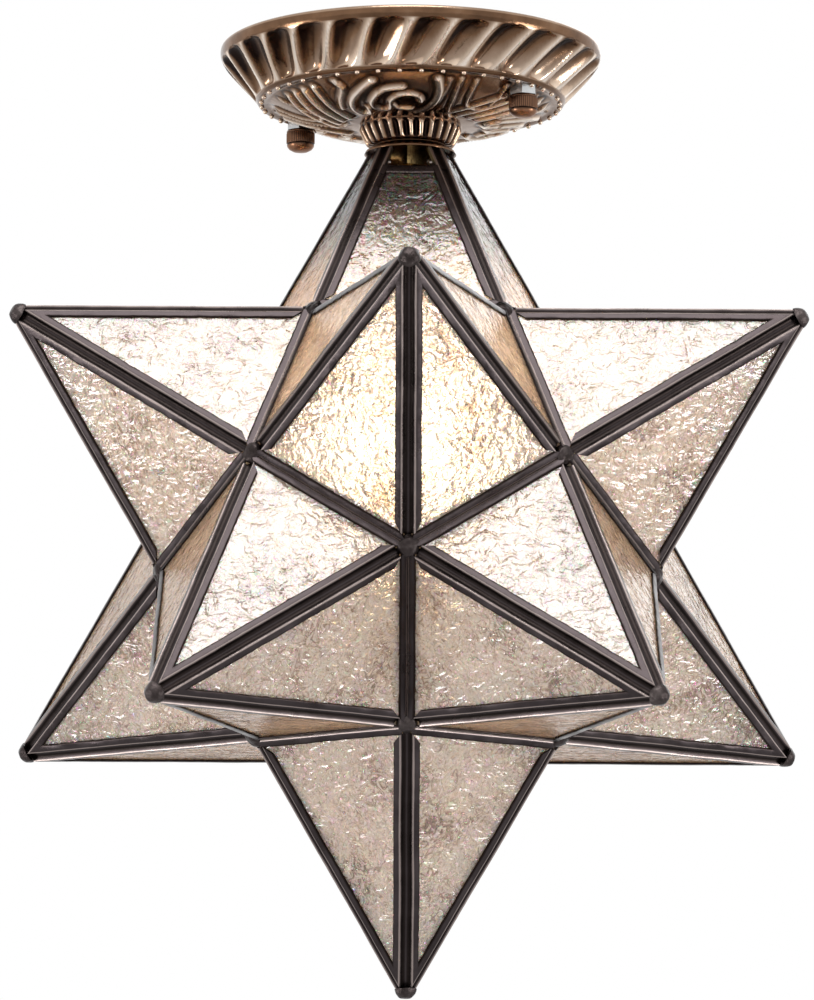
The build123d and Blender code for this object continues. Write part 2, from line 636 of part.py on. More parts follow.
def top_point(place):
    """The cut-off point under the vase cap: its front pane stops at a sill, below the window."""
    top = STAR_DROP + COLLAR_LOW_Z - VASE_CAP_THICK
    sill = along_pane(top - WINDOW_HEIGHT)
    opening = window(sill, along_pane(top) + CHANNEL_THICK)
    ridges = [bar - opening for bar in five(ridge_bar(top))]
    write("top_point_frame", ridges + five(base_bar()) + [sill_bar(sill)], place)
    write("top_point_glass", [pane(sill - CHANNEL_WEB)] + five(pane(along_pane(top)))[1:], place)


def door_nodes(place):
    """The point that opens, with its hinge and the leaf that stays on the star."""
    bars = five(ridge_bar()) + five(base_bar())
    write("door_frame", [door_clear(bar) for bar in bars], place)
    write("door_glass", five(pane()), place)
    write("door_tip_cap", tip_cap(), place)
    write("door_hinge_leaf", hinge_side(UP_PANE, OUT_PANE, [0], Circle(HINGE_PIN_R + HINGE_FIT)), place)
    offset = KNUCKLE_LENGTH + KNUCKLE_GAP
    socket = RegularPolygon(HINGE_PIN_R + HINGE_FIT, KNUCKLE_SIDES, major_radius=False)
    fixed = hinge_side(across_valley(UP_PANE), across_valley(OUT_PANE), [-offset, offset], socket)
    write("star_hinge_leaf", fixed, place)
    write("hinge_pin", hinge_pin(), place)


def across_valley(direction):
    """The same direction on the neighbour's side of the door's top edge."""
    normal = SIDE.cross(OUT_EDGE)
    return direction - normal * (2 * direction.dot(normal))


def mount_nodes():
    """The canopy, its fixings and the wiring space."""
    write("canopy", canopy())
    write("mounting_crossbar", crossbar())
    write("canopy_studs", at_studs(rod(STUD_R, 0, -STUD_LENGTH, ROD_SIDES)))
    write("stud_lock_nuts", at_studs(hex_nut(HEX_NUT_FLATS, LOCK_NUT_THICK, STUD_R, -BAR_THICK, ROD_SIDES)))
    write("canopy_hex_nuts", at_studs(hex_nut(HEX_NUT_FLATS, HEX_NUT_THICK, STUD_R, SEAT_Z, ROD_SIDES)))
    right, left = at_studs(knurled_cap_nut())
    write("cap_nut_right", right)
    write("cap_nut_left", left)
    write("stem_nipple", tube(NIPPLE_BORE_R, NIPPLE_R, NIPPLE_TOP, NIPPLE_LOW, LAMP_SIDES))
    washer_top = COLLAR_SEAT_Z + WASHER_THICK
    write("canopy_washer", tube(NIPPLE_R, WASHER_R, washer_top, COLLAR_SEAT_Z, LAMP_SIDES))
    nut_top = washer_top + STEM_NUT_THICK
    write("canopy_lock_nut", hex_nut(STEM_NUT_FLATS, STEM_NUT_THICK, NIPPLE_R, nut_top, LAMP_SIDES))
    write("vase_cap", vase_cap())
    cap_low = COLLAR_LOW_Z - VASE_CAP_THICK
    vase_nut = hex_nut(STEM_NUT_FLATS, VASE_NUT_THICK, NIPPLE_R, cap_low, LAMP_SIDES, VASE_NUT_TURN)
    write("vase_cap_nut", vase_nut)
    screw = rod(GROUND_SCREW_R, 0, -BAR_THICK, ROD_SIDES)
    screw = screw + rod(GROUND_HEAD_R, -BAR_THICK, -BAR_THICK - GROUND_HEAD, 6)
    write("ground_screw", in_bar_frame(Pos(*GROUND_SCREW) * screw))
    write("terminal_block", terminal_block())
    write("terminal_block_screws", block_screws())
    write("lead_live", lead(LIVE_ROUTE))
    write("lead_neutral", lead(NEUTRAL_ROUTE))
    write("lead_ground", lead(GROUND_ROUTE))


def lamp_nodes():
    """The lampholder and the bulb."""
    write("lampholder_cap", holder_cap())
    write("lampholder_body", holder_body())
    write("lampholder_insulator", holder_insulator())
    write("lampholder_screw_shell", screw_shell())
    write("lampholder_contact", centre_contact())
    write("lampholder_terminals", terminal_screws())
    for name, shape in bulb_parts().items():
        write(name, shape)


star_nodes()
mount_nodes()
lamp_nodes()
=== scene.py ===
"""Looks of the stained glass star ceiling light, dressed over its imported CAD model.
Sizes are in millimetres and are turned into metres where each mesh is made."""
import json
from math import acos, asin, atan2, cos, degrees, pi, radians, sin, sqrt, tan

import bmesh
import bpy
import numpy as np
from mathutils import Matrix, Vector, noise


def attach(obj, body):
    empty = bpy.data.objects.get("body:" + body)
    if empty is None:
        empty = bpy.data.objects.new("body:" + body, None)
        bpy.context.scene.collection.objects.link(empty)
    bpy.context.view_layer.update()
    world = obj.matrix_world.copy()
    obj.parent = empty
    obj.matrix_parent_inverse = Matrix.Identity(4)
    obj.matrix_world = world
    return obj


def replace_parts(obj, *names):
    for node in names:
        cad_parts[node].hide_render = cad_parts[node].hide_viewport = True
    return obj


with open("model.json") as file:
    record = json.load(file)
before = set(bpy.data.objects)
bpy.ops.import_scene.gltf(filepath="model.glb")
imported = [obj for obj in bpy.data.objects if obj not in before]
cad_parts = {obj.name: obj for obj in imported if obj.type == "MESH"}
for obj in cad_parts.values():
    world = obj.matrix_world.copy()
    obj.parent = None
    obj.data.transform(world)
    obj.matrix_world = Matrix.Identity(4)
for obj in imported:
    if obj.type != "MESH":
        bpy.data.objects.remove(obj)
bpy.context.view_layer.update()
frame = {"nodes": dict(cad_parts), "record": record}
NODES = frame["nodes"]
MM = 0.001
DRIFT_SEED = 11
noise.seed_set(DRIFT_SEED)      # the hand-made drift is the same on every run

# The driving sizes of the CAD source
PANE_BASE = 72.5
STAR_DROP = 191.5
GOLDEN = (1 + sqrt(5)) / 2
BASE_RADIUS = PANE_BASE / (2 * sin(radians(36)))
BASE_INSET = PANE_BASE / (2 * tan(radians(36)))
BASE_HEIGHT = PANE_BASE / 2 * sqrt((25 + 11 * sqrt(5)) / 10)
RIDGE_LENGTH = PANE_BASE * GOLDEN
POINT_HEIGHT = RIDGE_LENGTH * cos(asin(BASE_RADIUS / RIDGE_LENGTH))
TIP_RADIUS = BASE_HEIGHT + POINT_HEIGHT
PANE_HEIGHT = sqrt(BASE_INSET ** 2 + POINT_HEIGHT ** 2)
RING_TILT = degrees(acos(1 / sqrt(5)))
GLASS_THICK = 3.0
CHANNEL_WALL = 0.75
CHANNEL_WEB = 0.9
CHANNEL_THICK = GLASS_THICK + 2 * CHANNEL_WALL
CHANNEL_WIDTH = 3.1
SOLDER_SINK = 1.9               # a little fuller than the source's groove
RIDGE_HALF_ANGLE = acos(-1 / sqrt(5)) / 2
RIDGE_START = CHANNEL_THICK / tan(RIDGE_HALF_ANGLE)
VALLEY_SLOPE = 1 / tan(RIDGE_HALF_ANGLE)
TIP_CUT = 7.6
TIP_END = 4.4
TIP_CAP_R = 4.5
PANE_CORNER = 72
WINDOW_HEIGHT = 8.2
SILL_WIDTH = 3.6
VASE_CAP_THICK = 3.2
DOOR_POINT = "upper_rear_right"
DOOR_GAP = 0.35
FLUTES = 28
FLUTE_SLANT = 7.5
BEAD_RING_R = 57.8
BEAD_Z = -21.5
BEADS = 44
COLLAR_LOW_Z = -38.0
STUD_CIRCLE_R = 52.8
STUD_AZIMUTH = 54.6
SEAT_Z = -20.2
SEAT_R = 6.0
HEX_NUT_THICK = 4.5
CAP_NUT_R = 5.5

SIDE = Vector((1, 0, 0))
UP_PANE = Vector((0, BASE_INSET, POINT_HEIGHT)).normalized()
OUT_PANE = SIDE.cross(UP_PANE)
BASE_MIDDLE = Vector((0, -BASE_INSET, BASE_HEIGHT))
TIP = Vector((0, 0, TIP_RADIUS))


def spot(radius, azimuth, z=0.0):
    """A point at an azimuth counted from the front (-Y) towards +X."""
    a = radians(azimuth)
    return Vector((radius * sin(a), -radius * cos(a), z))


CORNER = spot(BASE_RADIUS, 36, BASE_HEIGHT)
RIDGE_DIR = (TIP - CORNER).normalized()
RIDGE_OUT = (spot(1, 36) - RIDGE_DIR * spot(1, 36).dot(RIDGE_DIR)).normalized()


def turn(axis, angle):
    """A turn about an axis through the origin, in degrees."""
    return Matrix.Rotation(radians(angle), 4, axis)


def placements():
    """Where each point stands: the upright pattern point turned about the star's centre."""
    flip = turn("Z", 180)
    named = {"top_point": Matrix.Identity(4), "bottom_point": turn("X", 180)}
    upper = {"front": 0, "right": 72, "rear_right": 144, "rear_left": -144, "left": -72}
    lower = {"front_right": 36, "right": 108, "rear": 180, "left": -108, "front_left": -36}
    for name, azimuth in upper.items():
        named["upper_" + name] = turn("Z", azimuth) @ turn("X", RING_TILT) @ flip
    for name, azimuth in lower.items():
        named["lower_" + name] = turn("Z", azimuth) @ turn("X", 180 - RING_TILT)
    drop = Matrix.Translation((0, 0, -STAR_DROP))
    return {name: drop @ place for name, place in named.items()}


PLACES = placements()


# Materials

PAINTED_SHADE_LOW, PAINTED_SHADE_HIGH = -0.100, -0.045     # painted shade: the glass darkens between these heights, in metres
FILM_NANOMETRES = (260, 640)             # thickness of the rainbow film
# colour of the faint painted glow that the glass gives off
PAINTED_GLOW_COLOUR = (1.0, 0.83, 0.62)
PATCH_SHARE = 0.24                       # how far calm patches push the veins apart
MILK_SHARE = 0.36
BLOOM_SHARE = 0.6
# the emission strength below is the glass's painted glow
GLASS_SETTINGS = {"Emission Strength": 0.12, "Roughness": 0.07, "IOR": 1.35, "Transmission Weight": 1.0,
                  "Thin Film IOR": 1.8, "Coat Weight": 1.0, "Coat IOR": 2.0, "Coat Roughness": 0.05}
BULB_LOW, BULB_HIGH = -0.183, -0.100     # end and neck of the bulb, in metres
BULB_STRENGTH = 14.0
CLOUD_SHARE = 0.35                       # how much a mottled cloud shifts the shade of a relief


def new_material(name):
    """A new material with its node tree and its main shader."""
    m = bpy.data.materials.new(name)
    m.use_nodes = True
    return m, m.node_tree, m.node_tree.nodes["Principled BSDF"]


def add(tree, kind, **values):
    """A new node; each value is a setting of the node or one of its inputs."""
    node = tree.nodes.new(kind)
    for key, value in values.items():
        if hasattr(node, key):
            setattr(node, key, value)
        else:
            node.inputs[key.replace("_", " ")].default_value = value
    return node


def texture(tree, scale, detail=4.0, rough=0.55, distortion=0.0, stretch=(1, 1, 1)):
    """Noise laid over the piece in its own coordinates."""
    where = add(tree, "ShaderNodeTexCoord")
    squeeze = add(tree, "ShaderNodeMapping")
    squeeze.inputs["Scale"].default_value = stretch
    cloud = add(tree, "ShaderNodeTexNoise", Scale=scale, Detail=detail, Roughness=rough,
                Distortion=distortion)
    tree.links.new(where.outputs["Object"], squeeze.inputs["Vector"])
    tree.links.new(squeeze.outputs["Vector"], cloud.inputs["Vector"])
    return cloud


def ramp(tree, source, stops):
    """Colours along a value, given as (place, colour)."""
    node = add(tree, "ShaderNodeValToRGB")
    bar = node.color_ramp.elements
    while len(bar) < len(stops):
        bar.new(0.5)
    for element, (place, colour) in zip(bar, stops):
        element.position = place
        element.color = (*colour, 1)
    tree.links.new(source, node.inputs["Fac"])
    return node


def spread(tree, source, low, high, start=0.3, end=0.7):
    """A value carried from one range to another."""
    node = add(tree, "ShaderNodeMapRange")
    for key, value in (("From Min", start), ("From Max", end), ("To Min", low), ("To Max", high)):
        node.inputs[key].default_value = value
    tree.links.new(source, node.inputs["Value"])
    return node


def bumps(tree, shader, *layers):
    """Stacked bump layers: (source, strength, distance in metres)."""
    last = None
    for source, strength, distance in layers:
        node = add(tree, "ShaderNodeBump", Strength=strength, Distance=distance)
        tree.links.new(source, node.inputs["Height"])
        if last:
            tree.links.new(last.outputs["Normal"], node.inputs["Normal"])
        last = node
    tree.links.new(last.outputs["Normal"], shader.inputs["Normal"])


def finish(name, colours, metallic=0.0, rough=(0.3, 0.5), scale=90, bump=0.15, bump_scale=700,
           size=0.0004, **more):
    """A plain solid finish: mottled colour, uneven roughness, fine bump."""
    m, tree, shader = new_material(name)
    cloud = texture(tree, scale, 6, 0.6)
    fine = texture(tree, bump_scale, 3, 0.6)
    mottled = ramp(tree, cloud.outputs["Fac"], [(0.3 + 0.4 * i / max(1, len(colours) - 1), c)
                                                for i, c in enumerate(colours)])
    tree.links.new(mottled.outputs["Color"], shader.inputs["Base Color"])
    uneven = spread(tree, cloud.outputs["Fac"], rough[0], rough[1])
    tree.links.new(uneven.outputs["Result"], shader.inputs["Roughness"])
    shader.inputs["Metallic"].default_value = metallic
    for key, value in more.items():
        shader.inputs[key.replace("_", " ")].default_value = value
    bumps(tree, shader, (cloud.outputs["Fac"], bump, 0.002), (fine.outputs["Fac"], bump, size))
    return m


def times(tree, first, second):
    """Two colours multiplied; the second may be a fixed one."""
    node = add(tree, "ShaderNodeVectorMath", operation="MULTIPLY")
    tree.links.new(first, node.inputs[0])
    if isinstance(second, tuple):
        node.inputs[1].default_value = second
    else:
        tree.links.new(second, node.inputs[1])
    return node.outputs[0]


def arithmetic(tree, operation, first, second=None, third=None):
    """A sum on values; each is an output or a number."""
    node = add(tree, "ShaderNodeMath", operation=operation)
    for entry, value in zip(node.inputs, (first, second, third)):
        if isinstance(value, (int, float)):
            entry.default_value = value
        elif value is not None:
            tree.links.new(value, entry)
    return node.outputs["Value"]


def height_along(tree, low, high):
    """How far up a place lies between two heights in metres, from 0 to 1."""
    where = add(tree, "ShaderNodeTexCoord")
    split = add(tree, "ShaderNodeSeparateXYZ")
    tree.links.new(where.outputs["Object"], split.inputs["Vector"])
    return spread(tree, split.outputs["Z"], 0, 1, low, high).outputs["Result"]


def glass_tint(tree, hue):
    """Pastel drifts in the glass, which turn to stronger stains and then darken to a painted shade up the top
    point.
    """
    height = height_along(tree, PAINTED_SHADE_LOW, PAINTED_SHADE_HIGH)
    tint = ramp(tree, hue, [(0.34, (0.93, 0.87, 0.95)), (0.43, (1.0, 0.96, 0.92)), (0.50, (0.91, 0.95, 0.95)),
                            (0.56, (1.0, 0.96, 0.86)), (0.66, (0.99, 0.90, 0.91))])
    pearl = ramp(tree, hue, [(0.38, (0.50, 0.10, 0.40)), (0.44, (0.95, 0.74, 0.25)),
                             (0.49, (0.06, 0.50, 0.62)), (0.54, (0.90, 0.95, 0.86)),
                             (0.62, (0.62, 0.22, 0.24))])
    band = ramp(tree, height, [(0.14, (0, 0, 0)), (0.34, (1, 1, 1)), (0.70, (0.3, 0.3, 0.3))])
    # painted shade: the glass turns dark towards the top of the top point
    painted_shade = ramp(tree, height, [(0.34, (1, 1, 1)), (0.48, (0.58, 0.49, 0.43)), (0.66, (0.08, 0.05, 0.04))])
    stain = add(tree, "ShaderNodeMix", data_type="RGBA")
    share, plain, stained = stain.inputs[0], stain.inputs[6], stain.inputs[7]
    tree.links.new(band.outputs["Color"], share)
    tree.links.new(tint.outputs["Color"], plain)
    tree.links.new(pearl.outputs["Color"], stained)
    return times(tree, stain.outputs[2], painted_shade.outputs["Color"])


def glass_veins(tree, calm):
    """Dark curled veins and flecks, and a painted warm shade on glass that is looked at from the side."""
    grain = texture(tree, 360, 3.0, 0.6, 1.3)
    vein = ramp(tree, calm, [(0.105, (0.34, 0.25, 0.19)), (0.125, (0.70, 0.60, 0.52)),
                             (0.16, (0.96, 0.92, 0.89)), (0.21, (1.0, 0.99, 0.98))])
    fleck = ramp(tree, grain.outputs["Fac"], [(0.37, (0.44, 0.35, 0.30)), (0.42, (0.91, 0.87, 0.85)),
                                              (0.56, (0.94, 0.90, 0.88)), (0.59, (0.50, 0.41, 0.36)),
                                              (0.62, (1.0, 1.0, 1.0))])
    # Painted shade: glass seen edge-on is darkened to a warm brown.
    glance = add(tree, "ShaderNodeLayerWeight", Blend=0.5)
    glancing_shade = ramp(tree, glance.outputs["Facing"], [(0.25, (1, 1, 1)), (0.60, (0.95, 0.84, 0.70)),
                                                  (0.85, (0.84, 0.63, 0.43))])
    return glancing_shade.outputs["Color"], times(tree, vein.outputs["Color"], fleck.outputs["Color"])


def milky(tree, clear, colour, surface):
    """Clear glass with a share of milk, which lets light through and scatters it."""
    milk = add(tree, "ShaderNodeBsdfTranslucent")
    bloom = add(tree, "ShaderNodeBsdfDiffuse")
    for layer in (milk, bloom):
        tree.links.new(colour, layer.inputs["Color"])
        tree.links.new(surface, layer.inputs["Normal"])
    scatter = add(tree, "ShaderNodeMixShader", Fac=BLOOM_SHARE)
    tree.links.new(milk.outputs["BSDF"], scatter.inputs[1])
    tree.links.new(bloom.outputs["BSDF"], scatter.inputs[2])
    both = add(tree, "ShaderNodeMixShader", Fac=MILK_SHARE)
    tree.links.new(clear, both.inputs[1])
    tree.links.new(scatter.outputs["Shader"], both.inputs[2])
    return both.outputs["Shader"]


def hammered_glass():
    """Rippled glass with curled veins and drifting tints: clear enough to sparkle, milky enough to glow, with
    a faint painted glow of its own.
    """
    m, tree, shader = new_material("hammered_glass")
    ripple = texture(tree, 170, 2.0, 0.5, 1.2, (1, 1, 1.2)).outputs["Fac"]
    fine = texture(tree, 480, 2.0, 0.55, 0.9).outputs["Fac"]
    curl = texture(tree, 190, 2.5, 0.55, 1.6).outputs["Fac"]
    patch = texture(tree, 42, 2.0, 0.5).outputs["Fac"]
    hue = texture(tree, 110, 4, 0.65, 2.6).outputs["Fac"]
    off_line = arithmetic(tree, "ABSOLUTE", arithmetic(tree, "SUBTRACT", curl, 0.5))
    calm = arithmetic(tree, "MULTIPLY_ADD", patch, PATCH_SHARE, off_line)
    glancing_shade, marks = glass_veins(tree, calm)
    colour = times(tree, times(tree, glass_tint(tree, hue), glancing_shade), marks)
    # Painted glow: the glass gives off a faint warm light of its own.
    tree.links.new(times(tree, colour, PAINTED_GLOW_COLOUR), shader.inputs["Emission Color"])
    tree.links.new(colour, shader.inputs["Base Color"])
    film = spread(tree, hue, *FILM_NANOMETRES)
    tree.links.new(film.outputs["Result"], shader.inputs["Thin Film Thickness"])
    for key, value in GLASS_SETTINGS.items():
        shader.inputs[key].default_value = value
    bumps(tree, shader, (ripple, 0.8, 0.0030), (fine, 0.5, 0.0010), (calm, 0.5, 0.0020))
    glaze = add(tree, "ShaderNodeBump", Strength=0.6, Distance=0.0012)
    tree.links.new(ripple, glaze.inputs["Height"])
    tree.links.new(glaze.outputs["Normal"], shader.inputs["Coat Normal"])
    surface = shader.inputs["Normal"].links[0].from_socket
    tree.links.new(milky(tree, shader.outputs["BSDF"], colour, surface),
                   tree.nodes["Material Output"].inputs["Surface"])
    return m


def relief_metal(name, stops, rough, metallic=1.0):
    """Polished antique metal, coloured along the shade given to each point: painted shade in the hollows,
    painted highlights on what stands proud.
    """
    m, tree, shader = new_material(name)
    high = add(tree, "ShaderNodeAttribute", attribute_name="relief")
    cloud = texture(tree, 70, 6, 0.62)
    mixed = arithmetic(tree, "MULTIPLY_ADD", cloud.outputs["Fac"], CLOUD_SHARE, high.outputs["Fac"])
    colour = ramp(tree, mixed, stops)
    tree.links.new(colour.outputs["Color"], shader.inputs["Base Color"])
    shader.inputs["Metallic"].default_value = metallic
    uneven = spread(tree, cloud.outputs["Fac"], rough[0], rough[1])
    tree.links.new(uneven.outputs["Result"], shader.inputs["Roughness"])
    fine = texture(tree, 900, 3, 0.6)
    bumps(tree, shader, (cloud.outputs["Fac"], 0.12, 0.002), (fine.outputs["Fac"], 0.08, 0.0003))
    return m


def glowing_bulb():
    """A lit frosted bulb, palest round its middle."""
    m, tree, shader = new_material("bulb_glass")
    height = height_along(tree, BULB_LOW, BULB_HIGH)
    warm = ramp(tree, height, [(0.0, (1.0, 0.72, 0.42)), (0.45, (1.0, 0.86, 0.62)),
                               (1.0, (0.62, 0.34, 0.15))])
    tree.links.new(warm.outputs["Color"], shader.inputs["Emission Color"])
    shader.inputs["Emission Strength"].default_value = BULB_STRENGTH
    shader.inputs["Base Color"].default_value = (0.95, 0.93, 0.88, 1)
    shader.inputs["Roughness"].default_value = 0.35
    return m


MAT = {
    "dark_channel": relief_metal("dark_channel", [
        (0.22, (0.008, 0.005, 0.004)), (0.42, (0.020, 0.013, 0.012)), (0.60, (0.042, 0.033, 0.034)),
        (0.85, (0.07, 0.056, 0.056)), (1.05, (0.34, 0.28, 0.26))], (0.22, 0.38), 0.85),
    "solder": finish("solder", [(0.02, 0.014, 0.012), (0.045, 0.034, 0.033), (0.10, 0.082, 0.078)],
                     0.8, (0.22, 0.42), 160, 0.35, 700, 0.0006),
    "hammered_glass": hammered_glass(),
    "antique_bronze": relief_metal("antique_bronze", [
        (0.22, (0.018, 0.010, 0.008)), (0.42, (0.20, 0.11, 0.062)), (0.68, (0.46, 0.33, 0.24)),
        (0.9, (0.82, 0.65, 0.51)), (1.1, (1.0, 0.88, 0.77))], (0.12, 0.24)),
    "hinge_brass": finish("hinge_brass", [(0.16, 0.11, 0.055), (0.30, 0.21, 0.10)], 1.0, (0.3, 0.5)),
    "zinc_steel": finish("zinc_steel", [(0.50, 0.51, 0.52), (0.68, 0.69, 0.69)], 1.0, (0.25, 0.42),
                         200, 0.2),
    "green_steel": finish("green_steel", [(0.03, 0.16, 0.06), (0.05, 0.24, 0.09)], 0.7, (0.3, 0.5)),
    "copper_brown": relief_metal("copper_brown", [
        (0.25, (0.020, 0.014, 0.012)), (0.55, (0.10, 0.055, 0.036)), (0.9, (0.30, 0.15, 0.085))],
        (0.25, 0.42)),
    "brass_nut": finish("brass_nut", [(0.42, 0.29, 0.12), (0.66, 0.48, 0.22)], 1.0, (0.18, 0.34)),
    "white_plastic": finish("white_plastic", [(0.70, 0.70, 0.67), (0.80, 0.80, 0.78)], 0, (0.4, 0.55)),
    "black_phenolic": finish("black_phenolic", [(0.012, 0.011, 0.010), (0.03, 0.027, 0.025)], 0,
                             (0.28, 0.45)),
    "shell_brass": finish("shell_brass", [(0.5, 0.36, 0.16), (0.7, 0.52, 0.25)], 1.0, (0.2, 0.4)),
    "black_insulation": finish("black_insulation", [(0.015, 0.015, 0.015), (0.03, 0.03, 0.03)], 0,
                               (0.4, 0.6)),
    "white_insulation": finish("white_insulation", [(0.7, 0.7, 0.68), (0.8, 0.8, 0.78)], 0, (0.4, 0.6)),
    "green_insulation": finish("green_insulation", [(0.02, 0.22, 0.06), (0.03, 0.3, 0.09)], 0, (0.4, 0.6)),
    "bulb_glass": glowing_bulb(),
    "stem_glass": finish("stem_glass", [(0.8, 0.8, 0.78), (0.9, 0.9, 0.88)], 0, (0.1, 0.2),
                         Transmission_Weight=0.6),
    "filament": finish("filament", [(0.3, 0.28, 0.25), (0.5, 0.45, 0.4)], 1.0, (0.3, 0.5)),
    "bulb_cap_metal": finish("bulb_cap_metal", [(0.55, 0.54, 0.52), (0.75, 0.74, 0.71)], 1.0, (0.2, 0.4)),
    "bulb_insulator_black": finish("bulb_insulator_black", [(0.01, 0.01, 0.012), (0.03, 0.03, 0.035)], 0,
                                   (0.15, 0.3)),
}

for node in frame["record"]["subparts"]:
    NODES[node["node"]].data.materials.clear()
    NODES[node["node"]].data.materials.append(MAT[node["material_slot"]])


# Mesh helpers

def piece(name, verts, faces, material, body="star_and_canopy", smooth=40, attribute=None):
    """A new piece from points in millimetres, riding on a body; the attribute shades its relief."""
    mesh = bpy.data.meshes.new(name)
    mesh.from_pydata([tuple(c * MM for c in v) for v in verts], [], [tuple(f) for f in faces])
    mesh.update()
    mesh.shade_smooth()
    mesh.set_sharp_from_angle(angle=radians(smooth))
    mesh.materials.append(MAT[material])
    if attribute is not None:
        relief = mesh.attributes.new("relief", "FLOAT", "POINT")
        relief.data.foreach_set("value", np.asarray(attribute, np.float32))
    obj = bpy.data.objects.new(name, mesh)
    bpy.context.scene.collection.objects.link(obj)
    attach(obj, body)
    return obj


PLAIN_SHADE = 0.4


def lathe(profile, segments, wobble=None):
    """Rings of points round Z for a list of (radius, z); ends on the axis close up."""
    verts, faces = [], []
    rows = []
    for r, z in profile:
        if r < 1e-6:
            rows.append([len(verts)])
            verts.append((0, 0, z))
            continue
        row = []
        for k in range(segments):
            a = 2 * pi * k / segments
            rr = r if wobble is None else r + wobble(a, r, z)
            row.append(len(verts))
            verts.append((rr * sin(a), -rr * cos(a), z))
        rows.append(row)
    for upper, lower in zip(rows, rows[1:]):
        if len(upper) == 1 and len(lower) == 1:
            continue
        for k in range(segments):
            n = (k + 1) % segments
            a, b = (upper[k], upper[n]) if len(upper) > 1 else (upper[0], None)
            c, d = (lower[n], lower[k]) if len(lower) > 1 else (lower[0], None)
            faces.append([i for i in (d, c, b, a) if i is not None] if d is not None else [c, b, a])
    return verts, faces


def curve_through(points, per=6):
    """A smooth line through (r, z) points."""
    pts = [points[0]] + list(points) + [points[-1]]
    out = []
    for i in range(1, len(pts) - 2):
        p0, p1, p2, p3 = (np.array(pts[i + k - 1], float) for k in range(4))
        for k in range(per):
            t = k / per
            out.append(0.5 * ((2 * p1) + (p2 - p0) * t + (2 * p0 - 5 * p1 + 4 * p2 - p3) * t ** 2
                              + (3 * p1 - p0 - 3 * p2 + p3) * t ** 3))
    out.append(np.array(pts[-2], float))
    return [tuple(p) for p in out]


def moved(verts, place):
    """Points carried by a placement."""
    return [tuple(place @ Vector(v)) for v in verts]


def uneven(verts, shades=None, amount=0.16, scale=0.05, fine=0.05, fine_scale=0.35):
    """Hand-made unevenness: one continuous drift of all points, so that joints stay closed.
    The lips along the glass, told by their shade, are more ragged."""
    ragged, ragged_scale = 0.22, 0.42
    out = []
    for i, v in enumerate(verts):
        p = Vector(v)
        drift = noise.noise_vector(p * scale) * amount + noise.noise_vector(p * fine_scale) * fine
        if shades is not None and abs(shades[i] - LIP) < 0.01:
            drift += noise.noise_vector(p * ragged_scale) * ragged
        out.append(tuple(p + drift))
    return out


# Star frame

# Shades of a bar's faces: by the glass, a painted highlight on the edge, between them, and painted shade
# inside the slot and the groove
LIP = 0.20
EDGE_HIGHLIGHT = 0.86
FLAT = 0.42
HOLLOW_SHADE = 0.06


def swept(section, origin, x_dir, z_dir, length, step=2.2):
    """A straight bar with rings at even steps, as a bmesh; each section point has its shade."""
    y_dir = z_dir.cross(x_dir)
    bm = bmesh.new()
    shade = bm.verts.layers.float.new("shade")
    count = max(2, int(round(length / step)))
    rings = []
    for k in range(count + 1):
        base = origin + z_dir * (length * k / count)
        ring = []
        for x, y, value in section:
            vert = bm.verts.new(base + x_dir * x + y_dir * y)
            vert[shade] = value
            ring.append(vert)
        rings.append(ring)
    n = len(section)
    for a, b in zip(rings, rings[1:]):
        for i in range(n):
            bm.faces.new((a[i], a[(i + 1) % n], b[(i + 1) % n], b[i]))
    bm.faces.new(rings[0][::-1])
    bm.faces.new(rings[-1])
    return bm


def keep_side(bm, origin, towards):
    """Cut a bar by a plane and close the cut."""
    geom = bm.verts[:] + bm.edges[:] + bm.faces[:]
    made = bmesh.ops.bisect_plane(bm, geom=geom, plane_co=origin, plane_no=-towards.normalized(),
                                  clear_outer=True, dist=1e-5)
    edges = [g for g in made["geom_cut"] if isinstance(g, bmesh.types.BMEdge)]
    if edges:
        bmesh.ops.triangle_fill(bm, edges=edges, use_beauty=True, use_dissolve=False)


def taken(bm):
    """The points, faces and shades of a bmesh, which is freed."""
    bm.verts.index_update()
    bmesh.ops.recalc_face_normals(bm, faces=bm.faces[:])
    layer = bm.verts.layers.float["shade"]
    verts = [tuple(v.co) for v in bm.verts]
    faces = [[v.index for v in f.verts] for f in bm.faces]
    shades = [v[layer] for v in bm.verts]
    bm.free()
    return verts, faces, shades


def joined(parts):
    """Several parts as one: (points, faces) or (points, faces, shades)."""
    verts, faces, shades = [], [], []
    for v, f, *own in parts:
        base = len(verts)
        verts += v
        faces += [[i + base for i in face] for face in f]
        shades += own[0] if own else [PLAIN_SHADE] * len(v)
    return verts, faces, shades


def flange(start, low_start):
    """A channel's section with softened corners, as (distance in from the pane's edge, depth, shade)."""
    end = start + CHANNEL_WIDTH
    web = start + CHANNEL_WEB
    slot_low = CHANNEL_WALL + GLASS_THICK
    return [(start, 0.42, EDGE_HIGHLIGHT), (start + 0.10, 0.10, EDGE_HIGHLIGHT), (start + 0.38, -0.04, EDGE_HIGHLIGHT),
            (start + 0.8, -0.08, FLAT), (end - 0.7, -0.08, FLAT), (end - 0.34, -0.04, LIP),
            (end - 0.07, 0.10, LIP), (end, 0.34, LIP), (end, CHANNEL_WALL, LIP),
            (web, CHANNEL_WALL, HOLLOW_SHADE), (web, slot_low, HOLLOW_SHADE), (end, slot_low, HOLLOW_SHADE),
            (end, CHANNEL_THICK - 0.2, HOLLOW_SHADE), (end - 0.2, CHANNEL_THICK, HOLLOW_SHADE),
            (low_start, CHANNEL_THICK, HOLLOW_SHADE)]


